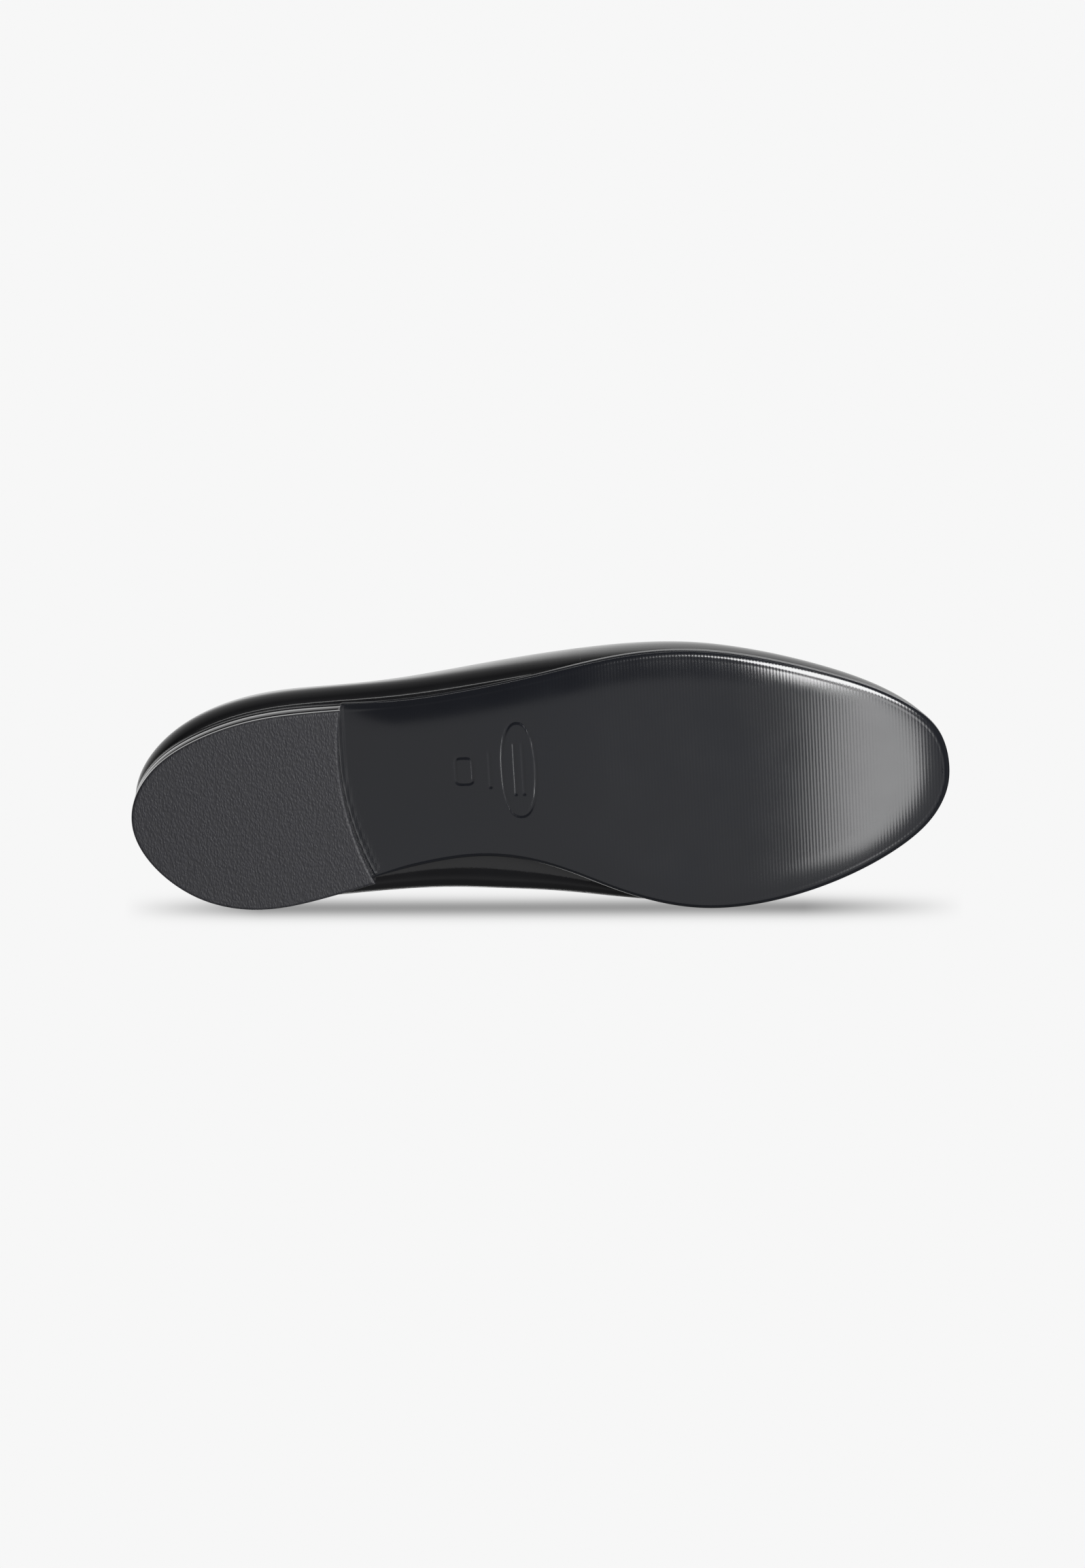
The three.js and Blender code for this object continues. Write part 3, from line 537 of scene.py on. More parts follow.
def sole_leather(name, rgb):
    """Glossed sole leather: fine ribs across the shoe from the roller, faint mottling and rubbing."""
    n = Nodes(name)
    cool = (rgb[0] * 0.85, rgb[1] * 0.95, rgb[2] * 1.1)
    n.colour(n.blend(n.noise(25, 2, 0.5), rgb, cool))
    n.roughness(n.spread(n.noise(60, 3, 0.5), 0.15, 0.19, 0.3, 0.7))
    tread = n.facing_down(-0.9, -0.7)
    n.bump(n.math("MULTIPLY", n.ribs(0.001, "X", 0.4), tread), 0.00001, 0.8)
    n.bump(n.noise(2200, 2, 0.5), 0.000004, 0.5)
    n.set(IOR=1.5)
    return n.material


def heel_gloss(name, rgb):
    n = Nodes(name)
    n.colour(n.blend(n.noise(90, 4), darker(rgb, 0.7), darker(rgb, 1.4)))
    n.roughness(n.spread(n.noise(220, 4, stretch=(1.0, 1.0, 6.0)), 0.05, 0.065, 0.3, 0.7))
    n.set(IOR=1.8, Coat_Weight=1.0, Coat_Roughness=0.08)
    return n.material


def top_lift_rubber(name, rgb):
    """Charcoal rubber with a fine wavy pebble drawn out across the heel, painted shade in its creases; its
    side is polished.
    """
    n = Nodes(name)
    wobble = n.add("ShaderNodeTexNoise", Vector=n.place, Scale=900.0, Detail=2.0)
    shift = n.add("ShaderNodeVectorMath", {"operation": "MULTIPLY_ADD"})
    n.feed(shift.inputs[0], wobble.outputs["Color"])
    shift.inputs[1].default_value = (0.0008, 0.0008, 0.0)
    n.feed(shift.inputs[2], n.place)
    stretched = n.add("ShaderNodeMapping", Vector=shift.outputs[0])
    stretched.inputs["Scale"].default_value = (1.5, 0.75, 1.0)
    pebbles = n.cells(1300, stretched.outputs["Vector"], Smoothness=0.5)
    pebble_relief_and_shade = n.spread(pebbles, 1.0, 0.0, 0.15, 0.75)
    # painted shade: the rubber is coloured darker in the creases between pebbles and lighter on their tops;
    # the same mask raises the pebbles
    n.colour(n.blend(pebble_relief_and_shade, darker(rgb, 0.8), darker(rgb, 1.1)))
    tread = n.facing_down(-0.85, -0.4)
    worn = n.spread(n.noise(300, 4), 0.44, 0.56, 0.3, 0.7)
    n.roughness(n.math("MULTIPLY_ADD", worn, tread, 0.06))
    n.bump(n.math("MULTIPLY", pebble_relief_and_shade, tread), 0.00008, 0.8)
    n.set(Coat_Weight=n.math("SUBTRACT", 1.0, tread), IOR=n.math("MULTIPLY_ADD", tread, -0.5, 1.9),
          Coat_Roughness=0.08)
    return n.material


def soft_leather(name, rgb, roughness=0.5, pores=900):
    n = Nodes(name)
    n.colour(n.blend(n.noise(80, 5, 0.6), darker(rgb, 0.7), darker(rgb, 1.45)))
    n.roughness(n.spread(n.noise(200, 4), roughness * 0.85, roughness * 1.2, 0.3, 0.7))
    n.bump(n.cells(pores, Smoothness=0.8), 0.00012, 0.6)
    n.bump(n.noise(3000, 3), 0.00002, 0.4)
    return n.material


def suede(name, rgb):
    n = Nodes(name)
    nap = n.noise(2400, 6, 0.7)
    n.colour(n.blend(n.noise(120, 4), darker(rgb, 0.7), darker(rgb, 1.6)))
    n.roughness(n.spread(nap, 0.85, 1.0))
    n.bump(nap, 0.00018, 0.8)
    n.set(Sheen_Weight=0.4, Sheen_Roughness=0.5)
    return n.material


def twill(name, rgb):
    n = Nodes(name)
    diagonal = n.ribs(0.0009, "DIAGONAL", 0.3)
    weft = n.ribs(0.00045, "X", 0.2)
    weave = n.math("MULTIPLY", diagonal, weft)
    n.colour(n.blend(weave, darker(rgb, 0.5), darker(rgb, 1.5)))
    n.roughness(n.spread(weave, 0.95, 0.75))
    n.bump(weave, 0.00016, 0.8)
    n.set(Sheen_Weight=0.2)
    return n.material


def thread_fibre(name, rgb):
    n = Nodes(name)
    ply = n.ribs(0.0003, "DIAGONAL", 0.5)
    n.colour(n.blend(ply, darker(rgb, 0.6), darker(rgb, 2.0)))
    n.roughness(n.spread(ply, 0.55, 0.4))
    n.bump(ply, 0.00006, 0.8)
    return n.material


def fibreboard(name, rgb):
    n = Nodes(name)
    fleck = n.noise(700, 6, 0.7)
    n.colour(n.blend(n.spread(fleck, 0.0, 1.0, 0.35, 0.65), darker(rgb, 0.6), darker(rgb, 1.25)))
    n.roughness(n.spread(fleck, 0.8, 0.95))
    n.bump(fleck, 0.0001, 0.5)
    return n.material


def cork(name, rgb):
    n = Nodes(name)
    grains = n.cells(420)
    n.colour(n.blend(n.spread(grains, 0.0, 1.0, 0.0, 0.7), darker(rgb, 1.3), darker(rgb, 0.35)))
    n.roughness(n.spread(grains, 0.95, 0.8))
    n.bump(grains, 0.0003, 0.7)
    return n.material


def satin_steel(name, rgb):
    n = Nodes(name)
    drawn = n.noise(500, 4, stretch=(0.1, 1.0, 1.0))
    n.colour(n.blend(drawn, darker(rgb, 0.8), darker(rgb, 1.15)))
    n.roughness(n.spread(drawn, 0.25, 0.42))
    n.bump(drawn, 0.00003, 0.4)
    n.set(Metallic=1.0)
    return n.material


# ---------------------------------------------------------------- pieces
class ShoeOperator:
    bl_options = {"REGISTER", "UNDO"}


class SHOE_OT_outsole(ShoeOperator, bpy.types.Operator):
    """Leather outsole with a rolled edge, a crowned tread and a small blank mark pressed in the waist"""

    bl_idname = "shoe.outsole"
    bl_label = "Outsole"

    roll = 2.4  # reach of the rolled bottom edge
    roll_rise = 1.35
    crown = 12.5  # reach of the softer crown inside it
    crown_rise = 1.0
    fade = (64.0, 84.0)  # the crown starts past the heel, over this stretch
    across = 150
    outline_points = 1440
    mark_place = (121.0, -6.5)
    mark_reach = (-22, 9)  # how far the mark goes to the heel and to the toe
    mark_depth = 0.2

    def turns(self, last):
        """Turns from the heel back to the toe on the outer side, closer together over the mark."""
        start, end = (last.turn_at(self.mark_place[0] + reach) for reach in self.mark_reach)
        half = np.concatenate([np.linspace(0, 0.5, 300), np.linspace(start, end, 100)])
        half = np.unique(np.round(half, 6))
        return half[np.concatenate([[True], np.diff(half) > 2e-4])]

    def crown_at(self, inset):
        return self.crown_rise * np.clip(1 - inset / self.crown, 0, 1) ** 2.4

    def pressed(self, x, y):
        """Depth of the blank mark: an oval outline round two bars, a short bar and a small panel."""
        dx, dy = x - self.mark_place[0], y - self.mark_place[1]

        def ring(cx, long, wide, power):
            a, b = np.abs((dx - cx) / long) + 1e-6, np.abs(dy / wide)
            reach = (a ** power + b ** power) ** (1 / power)
            slope = np.hypot(a ** (power - 1) / long, b ** (power - 1) / wide) / reach ** (power - 1)
            return np.abs(reach - 1) / np.maximum(slope, 1e-6)

        def bar(cx, half):
            return np.hypot(dx - cx, np.maximum(np.abs(dy) - half, 0))

        near = np.minimum.reduce([ring(0, 5.2, 15, 2.3), bar(1.3, 8), bar(-1.3, 8), bar(-9, 5.5),
                                  ring(-17, 2.6, 4.2, 5)])
        return self.mark_depth * np.exp(-((near / 0.42) ** 2))

    def tread(self, last, half):
        """The underside inside the rolled edge, as a grid from the outer to the inner side."""
        ends = [np.stack(last.plan(turns, -self.roll)[:2], -1) for turns in (half, 1 - half)]
        t = np.linspace(0, 1, self.across)[None, :, None]
        flat = ends[0][:, None] + (ends[1] - ends[0])[:, None] * t
        count = self.outline_points
        outline = mathutils.kdtree.KDTree(count)
        for i, point in enumerate(np.stack(last.plan(np.arange(count) / count)[:2], -1)):
            outline.insert((*point, 0), i)
        outline.balance()
        inset = np.array([outline.find((x, y, 0))[2] for x, y in flat.reshape(-1, 2)]).reshape(flat.shape[:2])
        inset[:, 0] = inset[:, -1] = self.roll
        x, y = flat[..., 0], flat[..., 1]
        rise = self.crown_at(inset) * Last.share(x, *self.fade)
        return np.stack([x, y, last.sole_bottom(x) + rise + self.pressed(x, y)], -1)

    def edge(self):
        """(inset, height above the underside) from the rolled edge up to the welt line."""
        thick = sizes().sole_thickness / MM
        start = self.crown_at(self.roll)
        angles = np.linspace(0, math.pi / 2, 12)
        roll = [(self.roll * (1 - math.sin(a)), start + self.roll_rise * (1 - math.cos(a))) for a in angles]
        rounding = [(0.0, thick - 0.45), (0.05, thick - 0.2), (0.2, thick - 0.05), (0.45, thick)]
        return roll + rounding + [(3.5, thick)]

    def execute(self, context):
        last = Last()
        half = self.turns(last)
        tread = self.tread(last, half)
        turns = np.concatenate([half, (1 - half)[::-1][1:-1]])
        count = len(turns)
        front = Last.share(last.plan(turns, -self.roll)[0], *self.fade)
        points, faces = [*tread.reshape(-1, 3)], [f[::-1] for f in grid_faces(*tread.shape[:2])]
        thick = sizes().sole_thickness / MM
        rings = self.edge()
        for k, (inset, rise) in enumerate(rings):
            x, y, _ = last.plan(turns, -inset)
            low = rise * front if rise < 0.7 * thick else rise
            base = len(points)
            points += [*np.stack([x, y, last.sole_bottom(x) + low], -1)]
            if k:
                faces += ring_faces(base - count, base, count)
        faces += cap_faces(base, count)
        make_piece("outsole_leather", points, faces, sole_leather("sole_leather", paint("sole")),
                   "outsole")
        return {"FINISHED"}


class SHOE_OT_heel(ShoeOperator, bpy.types.Operator):
    """Burnished heel block and the grained rubber top lift under it"""

    bl_idname = "shoe.heel"
    bl_label = "Heel"

    breast_outer, breast_inner, hollow = 67.0, 74.5, 4.3

    def plan(self, last):
        outer = np.linspace(0, last.turn_at(self.breast_outer), 120)
        inner = np.linspace(1 - last.turn_at(self.breast_inner), 1, 130)[:-1]
        back = [np.stack(last.plan(turns)[:2], -1) for turns in (outer, inner)]
        start, end = back[0][-1], back[1][0]
        t = np.linspace(0, 1, 60)[1:-1, None]
        breast = start + (end - start) * t - np.array([self.hollow, 0]) * 4 * t * (1 - t)
        return np.concatenate([back[0], breast, back[1]])

    @staticmethod
    def inset(ring, distance):
        before, after = np.roll(ring, 1, 0), np.roll(ring, -1, 0)
        normals = []
        for a, b in ((before, ring), (ring, after)):
            d = b - a
            normals.append(np.stack([d[:, 1], -d[:, 0]], -1) / np.linalg.norm(d, axis=1, keepdims=True))
        corner = (normals[0] + normals[1]) / (1 + (normals[0] * normals[1]).sum(1, keepdims=True))
        return ring - corner * distance

    def block(self, name, ring, layers, material, node, slot):
        count = len(ring)
        loops = []
        for distance, z in layers:
            flat = self.inset(ring, distance)
            high = z(flat[:, 0]) if callable(z) else np.full(count, z)
            loops.append(np.column_stack([flat, high]))
        faces = wall_faces(len(loops), count)
        faces.append(tuple(range(count))[::-1])
        faces.append(tuple(range((len(loops) - 1) * count, len(loops) * count)))
        piece = make_piece(name, np.concatenate(loops), faces, material, node)
        for polygon in piece.data.polygons:
            polygon.use_smooth = len(polygon.vertices) < 5
        return piece

    def execute(self, context):
        last = Last()
        ring = self.plan(last)
        lift = sizes().top_lift / MM
        self.block("heel_block_gloss", ring,
                   [(0.25, lift + 0.12), (0.06, lift + 0.2), (0.0, lift + 0.4),
                    (0.0, lambda x: last.sole_bottom(x) - 0.3), (0.05, lambda x: last.sole_bottom(x) - 0.12),
                    (0.2, lambda x: last.sole_bottom(x) - 0.02)],
                   heel_gloss("heel_gloss", paint("heel")), "heel_block", "heel_gloss")
        self.block("top_lift_grained", ring,
                   [(0.9, 0.0), (0.5, 0.05), (0.2, 0.2), (0.05, 0.45), (0.0, 0.8), (0.0, lift - 0.2),
                    (0.1, lift), (0.6, lift + 0.02)],
                   top_lift_rubber("top_lift_rubber", paint("top_lift")), "top_lift", "top_lift_rubber")
        return {"FINISHED"}


class SHOE_OT_upper(ShoeOperator, bpy.types.Operator):
    """Whole-cut gloss leather upper, lasted under at its foot"""

    bl_idname = "shoe.upper"
    bl_label = "Upper"

    tucks = (-7.0, -4.0, -2.0, -0.8)  # how far its lasting margin reaches under, row by row

    def execute(self, context):
        last = Last()
        turns = toe_turns(last, BACK_SEAM, 220)
        wall, out = rail_grid(last, turns, np.zeros_like(turns), last.top_share(turns), 84, ease=6)
        tucks = np.array(self.tucks)
        under = last.rail(turns[:, None], tucks[None, :])
        down = last.stacked(turns[:, None], np.broadcast_to(tucks, (len(turns), len(tucks))))
        points, faces = shell(np.concatenate([under, wall], 1), np.concatenate([down, out], 1),
                              0.0, sizes().upper_thickness / MM)
        make_piece("upper_leather", points, faces, gloss_leather("upper_gloss", paint("upper")),
                   "upper")
        return {"FINISHED"}


class SHOE_OT_binding(ShoeOperator, bpy.types.Operator):
    """Rolled leather binding round the topline"""

    bl_idname = "shoe.binding"
    bl_label = "Topline Binding"

    leg = 3.4
    wrap = 0.45

    def section(self):
        """Outline of the folded strip: (out, up) from the upper's top edge, outer leg, bead, inner leg."""
        high = sizes().binding_height / MM
        middle, half = -2.0, 2.35
        bead = [(middle + (half + 0.1) * math.cos(a), 0.1 + high * math.sin(a))
                for a in np.linspace(0, math.pi, 15)]
        inside = middle - half - 0.1
        outer = [(0.06, 0.05), (0.06, -self.leg), (0.3, -self.leg - 0.12), (self.wrap, -self.leg + 0.1),
                 (self.wrap, -1.2)]
        inner = [(inside, -1.2), (inside, -self.leg), (inside + 0.2, -self.leg - 0.1),
                 (middle - half + 0.2, -self.leg), (middle - half + 0.2, 0.05)]
        return outer + bead + inner

    def execute(self, context):
        last = Last()
        path, out, up = topline_path(last)
        section = np.array(self.section())
        ring = path[:, None] + out[:, None] * section[None, :, :1] + up[:, None] * section[None, :, 1:]
        count, sides = len(path), len(section)
        faces = [f for k in range(count) for f in ring_faces(k * sides, (k + 1) % count * sides, sides)]
        make_piece("binding_leather", ring.reshape(-1, 3), faces,
                   gloss_leather("binding_gloss", darker(paint("upper"), 1.4), 0.2, 0.00003),
                   "topline_binding")
        return {"FINISHED"}


def topline_path(last, count=460):
    """Points, outward and upward directions round the topline."""
    half = last.throat * (1 - (1 - np.linspace(0, 1, count // 2)) ** 1.7)
    turns = np.concatenate([half, (1 - half)[::-1][1:-1]])
    v = last.top_share(turns)
    path = last.rail(turns, v)
    out = last.stacked(turns, np.minimum(v, 0.999))
    along = np.roll(path, -1, 0) - np.roll(path, 1, 0)
    along /= np.linalg.norm(along, axis=1, keepdims=True)
    for _ in range(10):
        out = (np.roll(out, 1, 0) + 2 * out + np.roll(out, -1, 0)) / 4
    up = np.cross(out, along)
    up /= np.linalg.norm(up, axis=1, keepdims=True)
    return path, np.cross(along, up), up


def level(height):
    return lambda x: 0 * x + height


def round_the_back(last, samples=401):
    """Turns across the back seam and how far each is from the seam, in millimetres."""
    reach = last.turn_at(30.0)
    turns = np.linspace(-reach, reach, samples)
    x, y, _ = last.plan(turns)
    walk = np.concatenate([[0], np.cumsum(np.hypot(np.diff(x), np.diff(y)))])
    return turns, walk - walk[samples // 2]


class SHOE_OT_back_strap(ShoeOperator, bpy.types.Operator):
    """Narrow strap that covers the back seam"""

    bl_idname = "shoe.back_strap"
    bl_label = "Back Strap"

    half_width = 7.0
    thickness = 0.95
    foot = 20.0  # above the sole
    skived = 0.05  # share of the length over which the foot is thinned

    def execute(self, context):
        last = Last()
        turns, walk = round_the_back(last)
        columns, rows = 57, 110
        turns = np.interp(np.linspace(-self.half_width, self.half_width, columns), walk, turns)
        low = last.rail_at(turns, level(self.foot))
        at, out = rail_grid(last, turns, low, last.top_share(turns), rows)
        side = np.abs(np.linspace(-1, 1, columns))[:, None]
        skived = np.clip(np.linspace(0, 1, rows)[None, :] / self.skived, 0, 1)
        rounded = self.thickness - 0.5 * np.clip((side - 0.93) / 0.07, 0, 1) ** 2
        rounded = rounded * (0.4 + 0.6 * skived * (2 - skived))
        points, faces = shell(at, out, -rounded, -0.02)
        leather = gloss_leather("strap_gloss", paint("upper"), 0.12)
        make_piece("back_strap_leather", points, faces, leather, "back_strap")
        return {"FINISHED"}


class SHOE_OT_linings(ShoeOperator, bpy.types.Operator):
    """Textile vamp lining, leather quarter linings and the suede heel grip"""

    bl_idname = "shoe.linings"
    bl_label = "Linings"

    seam_place = 128.0
    seam_half = 0.0004  # half the play at the seams, in turns
    depth, leather_thick, textile_thick = 3.2, 0.8, 0.7  # depth under the upper's face, then thicknesses
    drop, small_bulge, large_bulge = 0.75, 2.0, 10.0  # how the foot sinks where the upper bulges
    grip_reach, grip_foot, grip_below, grip_depth = 40.0, 14.0, 6.0, 4.15

    def foot(self, last, turns):
        height = last.rail_at(turns, lambda x: last.sock_bottom(x) - last.sole_top(x))
        return height * (1 - self.drop * last.share(last.plan(turns)[2], self.small_bulge, self.large_bulge))

    def sheet(self, last, name, turns, depth, thickness, material, node, slot, low=None, high=None):
        low = self.foot(last, turns) if low is None else low
        high = last.top_share(turns) if high is None else high
        at, out = rail_grid(last, turns, low, high, 44)
        points, faces = shell(at, out, depth, depth + thickness)
        return make_piece(name, points, faces, material, node)

    def execute(self, context):
        last = Last()
        seam = last.turn_at(self.seam_place)
        leather = soft_leather("lining_leather", paint("lining"), 0.5)
        self.sheet(last, "vamp_lining_twill", toe_turns(last, seam + self.seam_half, 120), self.depth,
                   self.textile_thick, twill("lining_twill", paint("lining")), "vamp_lining", "lining_textile")
        for side, name in ((1, "outer"), (-1, "inner")):
            turns = np.linspace(BACK_SEAM, seam - self.seam_half, 90)
            turns = turns if side > 0 else (1 - turns)[::-1]
            self.sheet(last, f"quarter_lining_{name}_leather", turns, self.depth, self.leather_thick, leather,
                       f"quarter_lining_{name}", "lining_leather")
        end = last.turn_at(self.grip_reach)
        turns = np.linspace(-end, end, 81)
        low = last.rail_at(turns, level(self.grip_foot))
        high = last.rail_at(turns, lambda x: last.topline(x) - self.grip_below)
        edge = 1 - (np.abs(np.linspace(-1, 1, 81)) ** 6) * 0.25
        middle = (low + high) / 2
        self.sheet(last, "heel_grip_suede", turns, self.grip_depth, self.leather_thick,
                   suede("grip_suede", paint("lining")), "heel_grip", "grip_suede",
                   middle + (low - middle) * edge, middle + (high - middle) * edge)
        return {"FINISHED"}


class SHOE_OT_footbed(ShoeOperator, bpy.types.Operator):
    """Leather sock over the insole and the padded heel seat on it"""

    bl_idname = "shoe.footbed"
    bl_label = "Footbed"

    sock_inset, pad_inset, pad_end, pad_rise = 5.9, 7.6, 64.0, 1.3

    @staticmethod
    def reach(last, turns):
        """How much wider the footbed is where the upper bulges past the sole."""
        return np.clip((last.plan(turns)[2] - 2.0) * 0.4, 0, 3.8)

    def plate(self, last, name, turns, inset, floor, rings, material, node):
        count = len(turns)
        loops = []
        for grow, rise in rings:
            x, y, _ = last.plan(turns, -(inset - self.reach(last, turns) + grow))
            loops.append(np.stack([x, y, floor(x) + rise], -1))
        faces = wall_faces(len(loops), count)
        for base in (0, (len(loops) - 1) * count):
            faces += cap_faces(base, count)
        return make_piece(name, np.concatenate(loops), faces, material, node)

    def execute(self, context):
        last = Last()
        leather = soft_leather("sock_leather", paint("sock"), 0.42, 1100)
        turns = np.arange(360) / 360
        self.plate(last, "sock_leather_full", turns, self.sock_inset, last.sock_bottom,
                   [(0.5, 0.0), (0.1, 0.1), (0.0, 0.4), (0.05, 0.9), (0.35, 1.15), (1.2, 1.2), (6.0, 1.2)],
                   leather, "sock_lining")
        end = last.turn_at(self.pad_end)
        half = np.linspace(0, end, 90)
        turns = np.concatenate([half, (1 - half)[::-1][:-1]])
        rings = [(0.4, 0.0), (0.05, 0.15), (0.0, 0.5)]
        rings += [(7.0 * t, 0.5 + 1.6 * (1 - (1 - t) ** 2.2)) for t in np.linspace(0.06, 1, 10)]
        pad = self.plate(last, "heel_pad_cushion", turns, self.pad_inset,
                         lambda x: last.sock_bottom(x) + self.pad_rise, rings, leather, "heel_pad")
        return {"FINISHED"}


def stitch_row(path, normals, pitch, radius=0.22, sink=0.05, gap=0.28):
    """Capsules of thread laid end to end along a path, each dipping into the leather at its ends."""
    walk = np.concatenate([[0], np.cumsum(np.linalg.norm(np.diff(path, axis=0), axis=1))])
    count = int(walk[-1] // pitch)
    sides, steps = 6, 7
    points, faces = [], []
    for k in range(count):
        start, stop = (k + gap / 2) * pitch, (k + 1 - gap / 2) * pitch
        t = np.linspace(0, 1, steps)
        at = start + (stop - start) * t
        centre = np.stack([np.interp(at, walk, path[:, i]) for i in range(3)], -1)
        normal = np.stack([np.interp(at, walk, normals[:, i]) for i in range(3)], -1)
        normal /= np.linalg.norm(normal, axis=1, keepdims=True)
        along = centre[-1] - centre[0]
        along /= np.linalg.norm(along)
        across = np.cross(along, normal)
        bulge = np.sqrt(np.clip(1 - (2 * t - 1) ** 4, 0.02, 1))
        height = radius * (1.1 * bulge - 0.75) - sink
        base = len(points)
        for i in range(steps):
            for a in range(sides):
                angle = 2 * math.pi * a / sides
                ring = across[i] * math.cos(angle) + normal[i] * math.sin(angle)
                points.append(centre[i] + normal[i] * height[i] + ring * radius * bulge[i])
        for i in range(steps - 1):
            faces += ring_faces(base + i * sides, base + (i + 1) * sides, sides)
        faces.append(tuple(base + a for a in range(sides))[::-1])
        faces.append(tuple(base + (steps - 1) * sides + a for a in range(sides)))
    return points, faces


class SHOE_OT_stitching(ShoeOperator, bpy.types.Operator):
    """Thread of the topline row and of both edges of the back strap"""

    bl_idname = "shoe.stitching"
    bl_label = "Stitching"

    below_topline = 2.2
    beside_seam = 5.6
    above_foot, below_binding = 2.0, 4.0  # where the strap's rows start and end

    def execute(self, context):
        last = Last()
        pitch = sizes().stitch_pitch / MM
        thread = thread_fibre("thread", paint("thread"))
        path, out, up = topline_path(last)
        row = path + out * SHOE_OT_binding.wrap - up * self.below_topline
        points, faces = stitch_row(np.vstack([row, row[:1]]), np.vstack([out, out[:1]]), pitch)
        make_piece("topline_stitches", points, faces, thread)
        turns, walk = round_the_back(last)
        strap = SHOE_OT_back_strap
        strap_points, strap_faces = [], []
        for side in (-1, 1):
            u = float(np.interp(side * self.beside_seam, walk, turns))
            columns = np.array([u - 1e-3, u, u + 1e-3])
            low = last.rail_at(columns, level(strap.foot + self.above_foot))
            high = last.rail_at(columns, lambda x: last.topline(x) - self.below_binding)
            at, out = rail_grid(last, columns, low, high, 60)
            points, faces = stitch_row(at[1] + out[1] * strap.thickness, out[1], pitch)
            strap_faces += [tuple(i + len(strap_points) for i in f) for f in faces]
            strap_points += list(points)
        make_piece("back_strap_stitches", strap_points, strap_faces, thread)
        return {"FINISHED"}


class SHOE_OT_inner_parts(ShoeOperator, bpy.types.Operator):
    """Finishes of the parts closed inside the shoe: board, shank, rivets, nails, cork, puff and counter"""

    bl_idname = "shoe.inner_parts"
    bl_label = "Inner Parts"

    def execute(self, context):
        steel = satin_steel("steel", (0.5, 0.5, 0.5))
        finishes = {
            "insole_board": fibreboard("insole_fibre", (0.33, 0.2, 0.1)),
            "forepart_filler": cork("cork", (0.4, 0.22, 0.09)),
            "toe_puff": fibreboard("puff", (0.62, 0.56, 0.46)),
            "heel_counter": fibreboard("counter_board", (0.45, 0.26, 0.12)),
        }
        for name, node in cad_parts.items():
            if node.hide_render:
                continue
            node.data.materials.clear()
            node.data.materials.append(finishes.get(name, steel))
        return {"FINISHED"}


